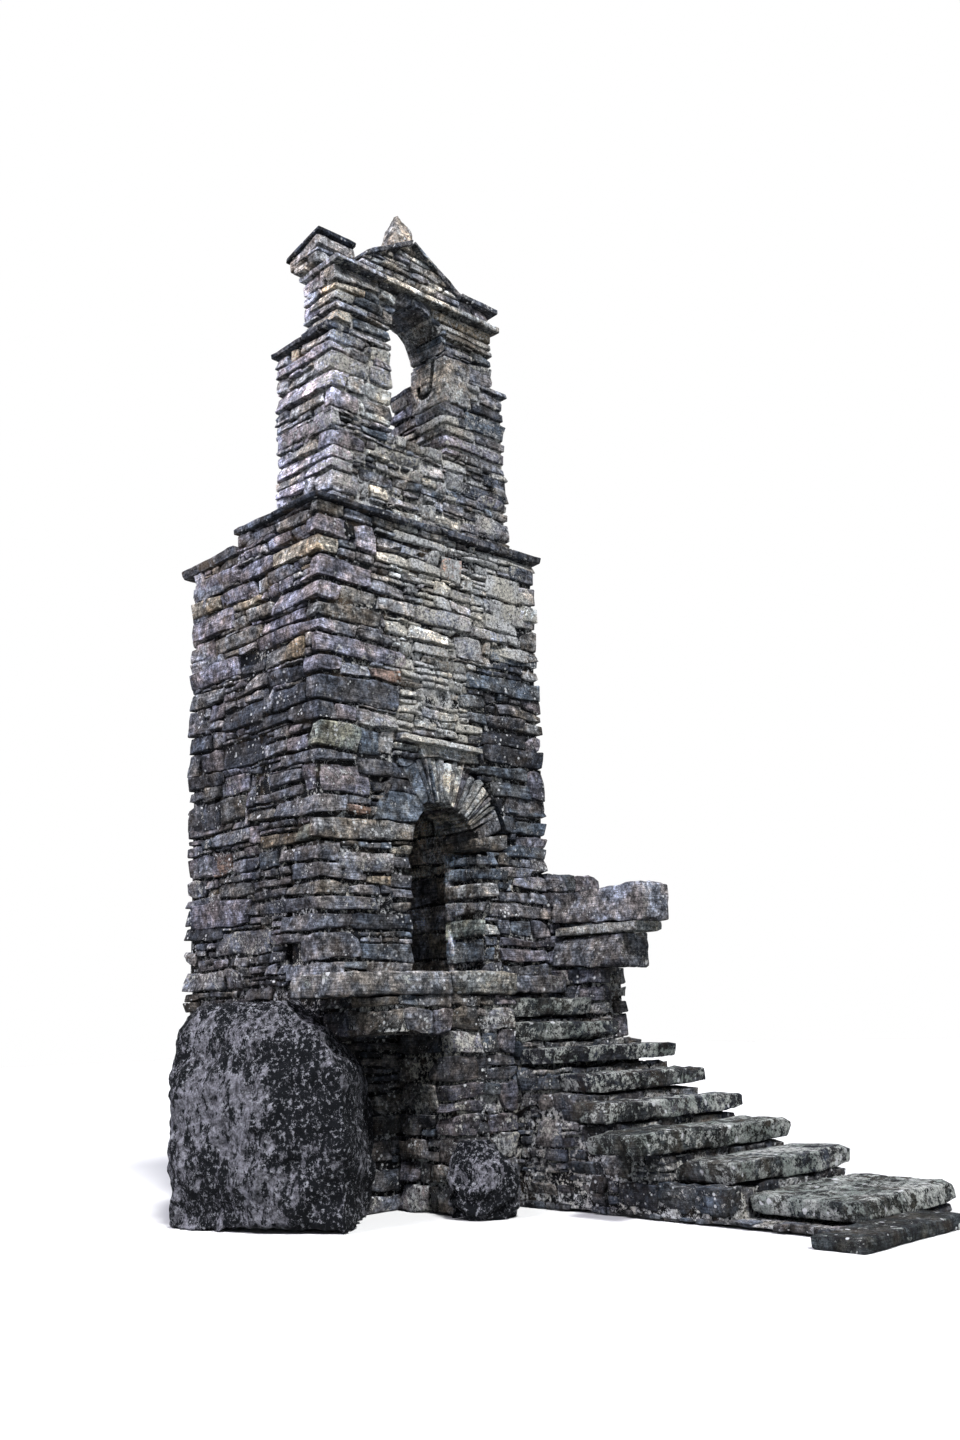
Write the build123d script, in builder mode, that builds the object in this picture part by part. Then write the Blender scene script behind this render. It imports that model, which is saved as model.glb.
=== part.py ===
"""Ruined rubble-stone tower with an arched doorway, a bell opening and a small gable.

Millimetres. +Z is up, the front with the doorway faces -Y, and the origin is on the ground
under the middle of the shaft.
"""

import math
import os

from build123d import *

os.makedirs("parts", exist_ok=True)

# Shaft
shaft_width = 3000
shaft_depth = 2220
front_wall = 500
side_wall = 550
back_wall_thickness = 500
floor_level = 2050
floor_slab = 80
chamber_height = 4150
roof_depth = 330

# Doorway in the front wall
door_width = 845
door_centre = 48
door_springing = 1250
voussoir_length = 480
right_springers = (13, 12)
thin_voussoirs = 14
leaning_voussoir = 14
left_springer = 54
voussoir_joint = 6
arch_seat = 0.3
arch_cover = 60
relieving_width = 1110
relieving_thickness = 90
relieving_projection = 100
relieving_bearing = 300
relieving_edge = 10

# Slabs that close the shaft, and the lower shoulder behind them
string_thickness = 70
string_overhang = 50
string_depth = 1430
shoulder_drop = 130
cap_thickness = 130
cap_nose = 170
cap_side = 40

# Bell stage
bell_left_inset = 245
bell_right_inset = 280
bell_setback = 100
bell_depth = 955
bell_sill_height = 940
bell_lower_height = 1810
band_thickness = 70
band_overhang = 40
upper_left_inset = 65
upper_right_inset = 185
upper_depth = 560
upper_height = 750
opening_width = 740
opening_centre = -80
opening_springing = 1220
cornice_thickness = 70
cornice_front = 70
cornice_left = 35
cornice_right = 85
cornice_back = 40

# Carved stone in the right jamb of the bell opening
groove_stone_width = 390
groove_stone_height = 530
groove_stone_sill = 630
groove_width = 60
groove_depth = 45
groove_margin = 190
groove_lean = 55
groove_drop = 290
groove_radius = 90
groove_rise = 70

# Gable and its cover slabs
gable_setback = 60
gable_depth = 500
gable_half_width = 700
gable_eaves = 190
gable_height = 590
rake_thickness = 60
rake_overhang = 45
left_block_setback = 260
left_block_depth = 370
left_block_height = 280
left_block_fall = 90
left_slab_thickness = 80
left_slab_overhang = 95
right_block_height = 220
right_slab_thickness = 65
right_slab_overhang = 140
finial_width = 330
finial_height = 480
finial_seat_thickness = 60

# Terrace in front of the door and its paving slabs
terrace_left = -620
terrace_right = 150
terrace_depth = 790
paving_thickness = 200
left_slab_reach = 1200
bearer_height = 350
landing_depth = 190

# Stair: slab treads on a rubble core
riser = 225
tread_thickness = 180
tread_nose = 40
tread_chip = 50
tread_width = 1830
tread_left_ends = (300, 170, -350, -90, 160, 0, 0, 0)
core_inset = 80
bottom_step_height = 100
bottom_step_depth = 420
bottom_step_left = -250
bottom_step_width = 1450
upper_going = 330
lower_goings = (950, 600, 500, 400, 350)

# Ruined walls to the right of the door
wing_thickness = 450
wing_length = 620
wing_rise = 70
wing_middle_height = 330
wing_middle_length = 930
wing_top_height = 470
wing_top_length = 1220
stub_length = 840
stub_height = 3130

# Natural rock under the near corner: outline at its widest, then height, share and shift of
# each of its sections
rock_outline = (
    (-800, -1000),
    (-1430, -1660),
    (-1800, -1900),
    (-2250, -1300),
    (-2500, -300),
    (-2050, 400),
    (-1550, 750),
    (-620, 450),
)
rock_heart = (-1450, -500)
rock_sections = (
    (0, 0.95, (0, 0)),
    (600, 1, (0, 0)),
    (1250, 0.96, (-20, 20)),
    (1600, 0.8, (-90, 80)),
    (1850, 0.5, (-230, 120)),
)
notch_width = 600
notch_depth = 1310
notch_height = 1100
foot_rock_width = 600
foot_rock_height = 620
foot_rock_depth = 450
foot_rock_centre = -480

# Planes and levels worked out from the sizes above
left_x = -shaft_width / 2
right_x = shaft_width / 2
front_y = -shaft_depth / 2
back_y = shaft_depth / 2
wall_foot = floor_level - floor_slab
wall_top = floor_level + chamber_height
string_z = wall_top + roof_depth
stage_z = string_z + string_thickness
door_left = door_centre - door_width / 2
door_right = door_centre + door_width / 2
springing_z = floor_level + door_springing
extrados = door_width / 2 + voussoir_length
arch_top_z = springing_z + extrados + arch_cover
bell_left = left_x + bell_left_inset
bell_right = right_x - bell_right_inset
bell_front = front_y + bell_setback
bell_back = bell_front + bell_depth
sill_z = stage_z + bell_sill_height
band_z = stage_z + bell_lower_height
upper_z = band_z + band_thickness
upper_left = bell_left + upper_left_inset
upper_right = bell_right - upper_right_inset
upper_back = bell_front + upper_depth
cornice_z = upper_z + upper_height
crown_z = cornice_z + cornice_thickness
opening_left = opening_centre - opening_width / 2
opening_right = opening_centre + opening_width / 2
opening_spring_z = sill_z + opening_springing
groove_z = sill_z + groove_stone_sill


def block(x, y, z):
    """A squared mass of masonry between two x, two y and two z values."""
    with BuildPart() as solid:
        with BuildSketch(Plane.XY.offset(z[0])):
            with Locations(((x[0] + x[1]) / 2, (y[0] + y[1]) / 2)):
                Rectangle(x[1] - x[0], y[1] - y[0])
        extrude(amount=z[1] - z[0])
    return solid


def slab(x, y, z, chips=(60, 90, 45, 75), edge=12):
    """A split stone slab: four chipped corners and a worn upper edge."""
    corners = (
        (x[0] + chips[0], y[0]),
        (x[1] - chips[1], y[0]),
        (x[1], y[0] + chips[1] * 0.6),
        (x[1], y[1] - chips[2]),
        (x[1] - chips[2] * 0.7, y[1]),
        (x[0] + chips[3] * 0.5, y[1]),
        (x[0], y[1] - chips[3]),
        (x[0], y[0] + chips[0] * 0.8),
    )
    with BuildPart() as stone:
        with BuildSketch(Plane.XY.offset(z[0])):
            with BuildLine():
                Polyline(*corners, close=True)
            make_face()
        extrude(amount=z[1] - z[0])
        chamfer(stone.faces().sort_by(Axis.Z)[-1].edges(), edge)
    return stone


def side_profile_block(x, y, bottom, top):
    """A mass between two x and two y values whose underside and top slope from front to back."""
    with BuildPart() as solid:
        with BuildSketch(Plane.YZ.offset(x[0])):
            with BuildLine():
                Polyline(
                    (y[0], bottom[0]), (y[1], bottom[1]), (y[1], top[1]), (y[0], top[0]), close=True
                )
            make_face()
        extrude(amount=x[1] - x[0])
    return solid


def profile_block(points, y):
    """A mass of masonry with an upright profile in x and z, between two y values."""
    with BuildPart() as solid:
        with BuildSketch(Plane.XZ.offset(-y[0])):
            with BuildLine():
                Polyline(*points, close=True)
            make_face()
        extrude(amount=y[0] - y[1])
    return solid


pieces = {}

# Footing: rubble mass from the ground to the floor, notched where the rock carries its corner
with BuildPart() as footing:
    with BuildSketch():
        Rectangle(shaft_width, shaft_depth)
    extrude(amount=wall_foot)
    with BuildSketch():
        with Locations((left_x + notch_width / 2, front_y + notch_depth / 2)):
            Rectangle(notch_width, notch_depth)
    extrude(amount=notch_height, mode=Mode.SUBTRACT)
pieces["footing"] = footing

# Terrace and the paving slabs of the landing
terrace_front = front_y - terrace_depth
paving_top = floor_level
bearer_z = paving_top - paving_thickness - bearer_height
pieces["terrace"] = block(
    (terrace_left, terrace_right), (terrace_front, front_y), (0, paving_top - paving_thickness)
)
pieces["landing_bearer"] = block(
    (left_x, terrace_left),
    (terrace_front, front_y),
    (bearer_z, paving_top - paving_thickness),
)
pieces["landing_slab_left"] = slab(
    (terrace_left - left_slab_reach, terrace_left),
    (terrace_front, front_y),
    (paving_top - paving_thickness, paving_top),
)
pieces["landing_slab_middle"] = slab(
    (terrace_left, terrace_right),
    (terrace_front - tread_nose, front_y),
    (paving_top - paving_thickness, paving_top),
)

# Stair: goings from the lowest tread up, then a level landing beside the terrace
tread_count = len(tread_left_ends)
goings = [*lower_goings] + [upper_going] * (tread_count - len(lower_goings))
stair_back = front_y - landing_depth
tread_front = [stair_back - sum(goings[step:]) for step in range(tread_count)]
tread_top = [paving_top - riser * (tread_count - step) for step in range(tread_count)]
tread_back = tread_front[1:] + [stair_back]
wing_front = front_y - wing_length
tread_right = terrace_right + tread_width
with BuildPart() as stair_core:
    with BuildSketch(Plane.YZ.offset(terrace_right)):
        with BuildLine():
            outline = [(front_y, 0), (tread_front[0] + tread_nose, 0)]
            for front, back, top in zip(tread_front, tread_back, tread_top):
                outline.append((front + tread_nose, top - tread_thickness))
                outline.append((back + tread_nose, top - tread_thickness))
            outline.append((stair_back + tread_nose, paving_top - tread_thickness))
            outline.append((front_y, paving_top - tread_thickness))
            Polyline(*outline, close=True)
        make_face()
    extrude(amount=tread_width - core_inset)
    with BuildSketch():
        with Locations((right_x + tread_width / 2, (front_y + wing_front) / 2)):
            Rectangle(tread_width, wing_length)
    extrude(amount=paving_top, mode=Mode.SUBTRACT)
pieces["stair_core"] = stair_core
with BuildPart() as treads:
    for front, back, top, end in zip(tread_front, tread_back, tread_top, tread_left_ends):
        beside_wing = back + tread_nose > wing_front
        right = right_x if beside_wing else tread_right
        left = terrace_right + end
        with BuildSketch(Plane.XY.offset(top - tread_thickness)):
            with BuildLine():
                Polyline(
                    (left + tread_chip, front),
                    (right - tread_chip, front),
                    (right, front + tread_chip),
                    (right, back + tread_nose),
                    (left, back + tread_nose),
                    (left, front + tread_chip),
                    close=True,
                )
            make_face()
        extrude(amount=tread_thickness)
pieces["stair_treads"] = treads
pieces["landing_slab_right"] = slab(
    (terrace_right, right_x),
    (stair_back, front_y),
    (paving_top - tread_thickness, paving_top),
    chips=(30, 40, 30, 30),
)
pieces["bottom_step"] = slab(
    (bottom_step_left, bottom_step_left + bottom_step_width),
    (tread_front[0] - bottom_step_depth, tread_front[0]),
    (0, bottom_step_height),
)

# Ruined walls to the right: one forward beside the landing, one stub in line with the front
wing_x = (right_x, right_x + wing_thickness)
wing_base_z = paving_top + wing_rise
wing_middle_z = wing_base_z + wing_middle_height
pieces["wing_wall"] = block(wing_x, (wing_front, front_y), (0, wing_base_z))
pieces["wing_block_middle"] = slab(
    wing_x, (front_y - wing_middle_length, front_y), (wing_base_z, wing_middle_z)
)
pieces["wing_block_top"] = slab(
    wing_x,
    (front_y - wing_top_length, front_y),
    (wing_middle_z, wing_middle_z + wing_top_height),
    chips=(40, 60, 30, 30),
)
pieces["side_stub"] = block(
    (right_x, right_x + stub_length), (front_y, front_y + front_wall), (0, stub_height)
)

# Natural rock: broad faces between its sections, cut to the beds of the masonry on it
with BuildPart() as boulder:
    for height, share, shift in rock_sections:
        corners = [
            (
                rock_heart[0] + (x - rock_heart[0]) * share + shift[0],
                rock_heart[1] + (y - rock_heart[1]) * share + shift[1],
            )
            for x, y in rock_outline
        ]
        with BuildSketch(Plane.XY.offset(height)):
            with BuildLine():
                Polyline(*corners, close=True)
            make_face()
    loft(ruled=True)
    for seat in ("footing", "terrace", "landing_bearer", "landing_slab_left"):
        add(pieces[seat].part, mode=Mode.SUBTRACT)
pieces["boulder"] = boulder
with BuildPart() as foot_boulder:
    for height, share in ((0, 0.9), (0.45, 1), (0.8, 0.75), (1, 0.35)):
        with BuildSketch(Plane.XY.offset(foot_rock_height * height)):
            with Locations((foot_rock_centre, terrace_front)):
                Ellipse(foot_rock_width / 2 * share, foot_rock_depth * share)
    loft()
    add(pieces["terrace"].part, mode=Mode.SUBTRACT)
    split(bisect_by=Plane.XZ.offset(-terrace_front), keep=Keep.TOP)
pieces["foot_boulder"] = foot_boulder

# Shaft walls round the hollow chamber
inner_left = left_x + side_wall
inner_right = right_x - side_wall
inner_front = front_y + front_wall
inner_back = back_y - back_wall_thickness
with BuildPart() as chamber_floor:
    with BuildSketch(Plane.XY.offset(wall_foot)):
        with Locations((0, (inner_front + inner_back) / 2)):
            Rectangle(inner_right - inner_left, inner_back - inner_front)
        with Locations((door_centre, front_y + front_wall / 2)):
            Rectangle(door_width, front_wall)
    extrude(amount=floor_slab)
pieces["chamber_floor"] = chamber_floor
jamb_z = (wall_foot, springing_z)
wall_z = (wall_foot, wall_top)
pieces["front_wall_left"] = block((left_x, door_left), (front_y, inner_front), jamb_z)
pieces["front_wall_right"] = block((door_right, right_x), (front_y, inner_front), jamb_z)
pieces["left_wall"] = block((left_x, inner_left), (inner_front, inner_back), wall_z)
pieces["right_wall"] = block((inner_right, right_x), (inner_front, inner_back), wall_z)
pieces["back_wall"] = block((left_x, right_x), (inner_back, back_y), wall_z)

# Wall round the door arch, with a round seat for the voussoirs
with BuildPart() as arch_surround:
    with BuildSketch(Plane.XZ.offset(-front_y)):
        with Locations(((left_x + right_x) / 2, (springing_z + arch_top_z) / 2)):
            Rectangle(shaft_width, arch_top_z - springing_z)
        with Locations((door_centre, springing_z)):
            Circle(extrados + arch_seat, mode=Mode.SUBTRACT)
    extrude(amount=-front_wall)
pieces["arch_surround"] = arch_surround

# Door arch, from right to left: two springers, thin slates on edge, a slate that leans against
# them, and the long block that makes the left haunch
thin_total = 180 - sum(right_springers) - leaning_voussoir - left_springer
turns = [*right_springers]
turns += [thin_total / thin_voussoirs] * thin_voussoirs
turns += [leaning_voussoir, left_springer]
half_joint = math.degrees(voussoir_joint / 2 / extrados)
with BuildPart() as door_arch:
    for number, turn in enumerate(turns):
        angle = sum(turns[:number])
        start = angle + (half_joint if number > 0 else 0)
        end = angle + turn - (half_joint if number < len(turns) - 1 else 0)
        with BuildSketch(Plane.XZ.offset(-front_y)):
            with BuildLine():
                inner = CenterArc((door_centre, springing_z), door_width / 2, start, end - start)
                outer = CenterArc((door_centre, springing_z), extrados, start, end - start)
                Line(inner @ 0, outer @ 0)
                Line(inner @ 1, outer @ 1)
            make_face()
        extrude(amount=-front_wall)
pieces["door_arch"] = door_arch

# Relieving slab over the arch, and the wall that rests on both
relieving_x = (door_centre - relieving_width / 2, door_centre + relieving_width / 2)
relieving_back = front_y + relieving_bearing
pieces["relieving_slab"] = slab(
    relieving_x,
    (front_y - relieving_projection, relieving_back),
    (arch_top_z, arch_top_z + relieving_thickness),
    chips=(50, 40, 25, 25),
    edge=relieving_edge,
)
with BuildPart() as front_wall_upper:
    with BuildSketch(Plane.XY.offset(arch_top_z)):
        with Locations((0, front_y + front_wall / 2)):
            Rectangle(shaft_width, front_wall)
    extrude(amount=wall_top - arch_top_z)
    with BuildSketch(Plane.XY.offset(arch_top_z)):
        with Locations((door_centre, front_y + relieving_bearing / 2)):
            Rectangle(relieving_width, relieving_bearing)
    extrude(amount=relieving_thickness, mode=Mode.SUBTRACT)
pieces["front_wall_upper"] = front_wall_upper

# Roof masonry across the chamber, string course slabs and the lower rear shoulder
step_y = front_y - string_overhang + string_depth
cap_z = string_z - shoulder_drop - cap_thickness + string_thickness
pieces["roof_front"] = block((left_x, right_x), (front_y, step_y), (wall_top, string_z))
pieces["roof_back"] = block((left_x, right_x), (step_y, back_y), (wall_top, cap_z))
pieces["string_course"] = slab(
    (left_x - string_overhang, right_x + string_overhang),
    (front_y - string_overhang, step_y),
    (string_z, stage_z),
    edge=15,
)
with BuildPart() as rear_cap:
    with BuildSketch(Plane.YZ.offset(left_x - cap_side)):
        with BuildLine():
            Polyline(
                (step_y, cap_z),
                (back_y + cap_nose, cap_z),
                (back_y + cap_nose, cap_z + cap_thickness * 0.8),
                (step_y, cap_z + cap_thickness),
                close=True,
            )
        make_face()
    extrude(amount=shaft_width + 2 * cap_side)
    fillet(rear_cap.faces().sort_by(Axis.Y)[-1].edges().filter_by(Axis.X), cap_thickness * 0.3)
pieces["rear_cap"] = rear_cap

# Bell stage: base, two piers each side of the opening, set-back slabs and the arched head
bell_y = (bell_front, bell_back)
upper_y = (bell_front, upper_back)
groove_y = (bell_front, upper_back)
groove_x = (opening_right, opening_right + groove_stone_width)
groove_span = (groove_z, groove_z + groove_stone_height)
pieces["bell_base"] = block((bell_left, bell_right), bell_y, (stage_z, sill_z))
pieces["bell_pier_left"] = block((bell_left, opening_left), bell_y, (sill_z, band_z))
pocket = block(groove_x, groove_y, groove_span)


def pier_round_pocket(x, y, z):
    """A pier to the right of the opening, with the place of the carved stone left free."""
    with BuildPart() as pier:
        add(block(x, y, z).part)
        add(pocket.part, mode=Mode.SUBTRACT)
    return pier


pieces["bell_pier_right"] = pier_round_pocket((opening_right, bell_right), bell_y, (sill_z, band_z))
band_spans = (
    (bell_left - band_overhang, opening_left),
    (opening_right, bell_right + band_overhang),
)
with BuildPart() as band_slabs:
    with BuildSketch(Plane.XY.offset(band_z)):
        for band_x in band_spans:
            with Locations((sum(band_x) / 2, (bell_front + bell_back + band_overhang) / 2)):
                Rectangle(band_x[1] - band_x[0], bell_depth + band_overhang)
    extrude(amount=band_thickness)
    add(pocket.part, mode=Mode.SUBTRACT)
pieces["band_slabs"] = band_slabs
pieces["upper_pier_left"] = block((upper_left, opening_left), upper_y, (upper_z, opening_spring_z))
pieces["upper_pier_right"] = pier_round_pocket(
    (opening_right, upper_right), upper_y, (upper_z, opening_spring_z)
)
with BuildPart() as bell_arch:
    with BuildSketch(Plane.XZ.offset(-bell_front)):
        with Locations(((upper_left + upper_right) / 2, (opening_spring_z + cornice_z) / 2)):
            Rectangle(upper_right - upper_left, cornice_z - opening_spring_z)
        with Locations((opening_centre, opening_spring_z)):
            Circle(opening_width / 2, mode=Mode.SUBTRACT)
    extrude(amount=-upper_depth)
pieces["bell_arch"] = bell_arch

# Carved stone of the right jamb: a hooked groove that runs down from its top and turns back up
groove_top_z = groove_z + groove_stone_height
with BuildPart() as groove_stone:
    add(pocket.part)
    with BuildSketch(Plane.YZ.offset(opening_right)):
        with BuildLine():
            drop = Line(
                (bell_front + groove_margin, groove_top_z),
                (bell_front + groove_margin + groove_lean, groove_top_z - groove_drop),
            )
            TangentArc(
                drop @ 1, drop @ 1 + Vector(2 * groove_radius, groove_rise), tangent=drop % 1
            )
        trace(line_width=groove_width)
    extrude(amount=groove_depth, mode=Mode.SUBTRACT)
pieces["groove_stone"] = groove_stone

# Cornice slab over the bell opening
pieces["cornice_slab"] = slab(
    (upper_left - cornice_left, upper_right + cornice_right),
    (bell_front - cornice_front, upper_back + cornice_back),
    (cornice_z, crown_z),
    edge=10,
)

# Gable: a low pediment with raking slabs, and a shoulder on each side
gable_front = bell_front + gable_setback
gable_y = (gable_front, gable_front + gable_depth)
gable_left = opening_centre - gable_half_width
gable_right = opening_centre + gable_half_width
eaves_z = crown_z + gable_eaves
apex_z = crown_z + gable_height
pieces["gable"] = profile_block(
    (
        (gable_left, crown_z),
        (gable_right, crown_z),
        (gable_right, eaves_z),
        (opening_centre, apex_z),
        (gable_left, eaves_z),
    ),
    gable_y,
)
rake = math.atan2(gable_height - gable_eaves, gable_half_width)
rise = rake_thickness / math.cos(rake)
for side, name in ((-1, "rake_slab_left"), (1, "rake_slab_right")):
    low_x = opening_centre + side * gable_half_width
    pieces[name] = profile_block(
        (
            (low_x, eaves_z),
            (low_x, eaves_z + rise),
            (opening_centre, apex_z + rise),
            (opening_centre, apex_z),
        ),
        (gable_y[0] - rake_overhang, gable_y[1] + rake_overhang),
    )
left_block_y = (bell_front + left_block_setback, bell_front + left_block_setback + left_block_depth)
left_fall = left_block_fall / left_block_depth
left_front_z = crown_z + left_block_height
left_back_z = left_front_z - left_block_fall
pieces["shoulder_block_left"] = side_profile_block(
    (upper_left, gable_left), left_block_y, (crown_z, crown_z), (left_front_z, left_back_z)
)
left_slab_drop = left_slab_overhang * left_fall
left_slab_under = (left_front_z + left_slab_drop, left_back_z - left_slab_drop)
pieces["shoulder_slab_left"] = side_profile_block(
    (upper_left - left_slab_overhang, gable_left),
    (left_block_y[0] - left_slab_overhang, left_block_y[1] + left_slab_overhang),
    left_slab_under,
    [level + left_slab_thickness for level in left_slab_under],
)
right_block_top = crown_z + right_block_height
pieces["shoulder_block_right"] = block((gable_right, upper_right), gable_y, (crown_z, right_block_top))
pieces["shoulder_slab_right"] = slab(
    (gable_right, upper_right + right_slab_overhang),
    (gable_y[0] - rake_overhang, gable_y[1]),
    (right_block_top, right_block_top + right_slab_thickness),
    chips=(25, 60, 40, 25),
)

# Finial: a blunt stone pyramid, bedded over the ridge of the raking slabs
ridge_z = apex_z + rise
with BuildPart() as finial:
    for height, share in ((0, 1), (0.3, 0.95), (0.75, 0.55), (1, 0.14)):
        width = finial_width * share
        with BuildSketch(Plane.XY.offset(ridge_z - finial_seat_thickness + finial_height * height)):
            with Locations((opening_centre, (gable_y[0] + gable_y[1]) / 2)):
                RectangleRounded(width, width * 0.9, width * 0.2)
    loft()
    for name in ("rake_slab_left", "rake_slab_right", "gable"):
        add(pieces[name].part, mode=Mode.SUBTRACT)
pieces["finial"] = finial

for name, piece in pieces.items():
    piece.part.label = name
    export_step(piece.part, f"parts/{name}.step")
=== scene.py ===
"""Looks of the ruined stone tower: dry-laid schist rubble, slate slabs, natural rock.

Metres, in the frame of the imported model: +Z is up and the front faces -Y. The box of a mass is
(x0, x1, y0, y1) and a part of a wall face is (start, end, low, high). A tone is a linear colour
with the stone's readiness for lichen as its fourth value.
"""

import functools
import math
from itertools import pairwise

import bmesh
import bpy
import numpy as np
from mathutils import Matrix, Vector


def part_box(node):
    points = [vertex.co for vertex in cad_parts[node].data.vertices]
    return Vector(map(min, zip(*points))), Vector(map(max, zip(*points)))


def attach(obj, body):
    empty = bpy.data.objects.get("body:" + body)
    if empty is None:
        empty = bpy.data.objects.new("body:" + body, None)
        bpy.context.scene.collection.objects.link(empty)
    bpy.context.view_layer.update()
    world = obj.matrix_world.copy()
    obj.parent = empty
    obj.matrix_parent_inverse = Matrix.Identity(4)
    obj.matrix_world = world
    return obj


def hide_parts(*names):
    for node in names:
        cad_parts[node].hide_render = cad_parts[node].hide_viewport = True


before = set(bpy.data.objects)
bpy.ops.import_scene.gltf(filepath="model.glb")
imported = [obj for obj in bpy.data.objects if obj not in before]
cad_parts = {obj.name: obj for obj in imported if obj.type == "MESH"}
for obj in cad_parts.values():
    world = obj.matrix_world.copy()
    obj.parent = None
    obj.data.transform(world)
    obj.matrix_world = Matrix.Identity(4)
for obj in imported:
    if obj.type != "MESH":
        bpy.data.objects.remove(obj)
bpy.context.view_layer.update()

SEED = 29
UP = 2
WELD = 1e-4
SHARP_EDGE = math.radians(38)

# Spacing of a stone's grid along x, y and z, and the widest edge it may have, as a share of it
STEP = (0.08, 0.08, 0.08)
COARSE = (0.16, 0.16, 0.16)
MOST_EDGE = 0.3

# How far bed lines wander up and down
WANDER = 0.02


def span(node):
    """Lowest and highest corner of a node, as arrays."""
    low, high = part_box(node)
    return np.array(low), np.array(high)


def welded(node):
    """A node's mesh with its doubled points made one."""
    shape = bmesh.new()
    shape.from_mesh(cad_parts[node].data)
    bmesh.ops.remove_doubles(shape, verts=shape.verts, dist=WELD)
    shape.verts.index_update()
    return shape


def solids_of(node):
    """Lowest corner, highest corner and points of each solid of a node, lowest solid first."""
    shape = welded(node)
    waiting = set(shape.verts)
    solids = []
    while waiting:
        island, edge = set(), [waiting.pop()]
        while edge:
            vertex = edge.pop()
            island.add(vertex)
            near = {link.other_vert(vertex) for link in vertex.link_edges} & waiting
            waiting -= near
            edge.extend(near)
        points = np.array([vertex.co for vertex in island])
        solids.append((points.min(0), points.max(0), points))
    shape.free()
    return sorted(solids, key=lambda solid: (solid[0][UP], solid[0][0]))


# Sizes taken from the frame
(SHAFT_LEFT, SHAFT_FRONT, _), (SHAFT_RIGHT, SHAFT_BACK, WALL_FOOT) = span("footing")
SHAFT = (SHAFT_LEFT, SHAFT_RIGHT, SHAFT_FRONT, SHAFT_BACK)
FLOOR = span("chamber_floor")[1][UP]
WALL_TOP = span("left_wall")[1][UP]
STRING_BOTTOM, STRING_TOP = (corner[UP] for corner in span("string_course"))
CAP_BOTTOM = span("roof_back")[1][UP]
STEP_Y = span("roof_front")[1][1]
DOOR_LEFT, FRONT_INNER, SPRINGING = span("front_wall_left")[1]
DOOR_RIGHT = span("front_wall_right")[0][0]
DOOR_CENTRE = (DOOR_LEFT + DOOR_RIGHT) / 2
DOOR_RADIUS = (DOOR_RIGHT - DOOR_LEFT) / 2
EXTRADOS = span("door_arch")[1][UP] - SPRINGING
BACK_INNER = span("back_wall")[0][1]
SIDE_LEFT = span("left_wall")[1][0]
SIDE_RIGHT = span("right_wall")[0][0]
OPEN_LEFT = span("bell_pier_left")[1][0]
OPEN_RIGHT = span("bell_pier_right")[0][0]
OPEN_CENTRE = (OPEN_LEFT + OPEN_RIGHT) / 2
OPEN_RADIUS = (OPEN_RIGHT - OPEN_LEFT) / 2
OPEN_SPRINGING = span("bell_arch")[0][UP]
CORNICE = span("cornice_slab")[0][UP]


class Stones:
    """Collects deformed stone blocks and makes one mesh of them."""

    def __init__(self, name, seed):
        self.name = name
        self.rng = np.random.default_rng(SEED * 1000 + seed)
        self.points, self.faces, self.tones = [], [], []
        self.count = 0

    def add(self, points, faces, tone):
        self.points.append(points)
        self.faces.extend([tuple(i + self.count for i in face) for face in faces])
        self.tones.append(np.broadcast_to(tone, (len(points), 4)))
        self.count += len(points)

    def build(self, material, slot, *nodes):
        """Makes the piece. None of it reaches under the floor that the part rests on."""
        points = np.concatenate(self.points)
        points[:, UP] = np.maximum(points[:, UP], 0.0)
        mesh = bpy.data.meshes.new(self.name)
        mesh.from_pydata(points.tolist(), [], self.faces)
        # The fourth value of growth is the lightness, which also holds painted light and shade
        for name, values in (("tone", np.concatenate(self.tones)), ("growth", growth_and_painted_light_at(points))):
            layer = mesh.attributes.new(name, "FLOAT_COLOR", "POINT")
            layer.data.foreach_set("color", values.astype(np.float32).ravel())
        mesh.polygons.foreach_set("use_smooth", [True] * len(mesh.polygons))
        mesh.set_sharp_from_angle(angle=SHARP_EDGE)
        mesh.materials.append(material)
        piece = bpy.data.objects.new(self.name, mesh)
        bpy.context.scene.collection.objects.link(piece)
        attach(piece, "root")
        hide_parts(*nodes)


def grid_lines(length, edge, step):
    """Places of the grid lines across a stone: two beside the edges and some between."""
    edge = min(edge, length * MOST_EDGE)
    inner = max(1, int(round((length - 2 * edge) / step)))
    return np.concatenate(([0], np.linspace(edge, length - edge, inner + 1), [length])) / length


@functools.cache
def block_grid(*counts):
    """Points of a box's surface as indices, and its faces, for given numbers of grid lines."""
    last = np.array(counts) - 1
    cells = [cell for cell in np.ndindex(*counts) if 0 in cell or np.any(cell == last)]
    index = {cell: number for number, cell in enumerate(cells)}
    faces = []
    for fixed, first, second, flip in ((1, 0, 2, False), (0, 1, 2, True), (2, 0, 1, True)):
        for end in (0, last[fixed]):
            for a, b in np.ndindex(last[first], last[second]):
                ring = []
                for place_a, place_b in ((a, b), (a + 1, b), (a + 1, b + 1), (a, b + 1)):
                    cell = {fixed: int(end), first: place_a, second: place_b}
                    ring.append(index[cell[0], cell[1], cell[2]])
                faces.append(ring[::-1] if flip else ring)
            flip = not flip
    return np.array(cells), faces


def waves(rng, points, size, amount):
    """Smooth random offset of each point: three sets of sines of about the given size."""
    offset = np.zeros_like(points)
    for _ in range(3):
        direction = rng.normal(size=(3, 3)) * (2 * math.pi / size / 1.7)
        phase = rng.uniform(0, 2 * math.pi, 3)
        offset += np.sin(points @ direction.T + phase) * (amount / 3)
    return offset


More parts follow.
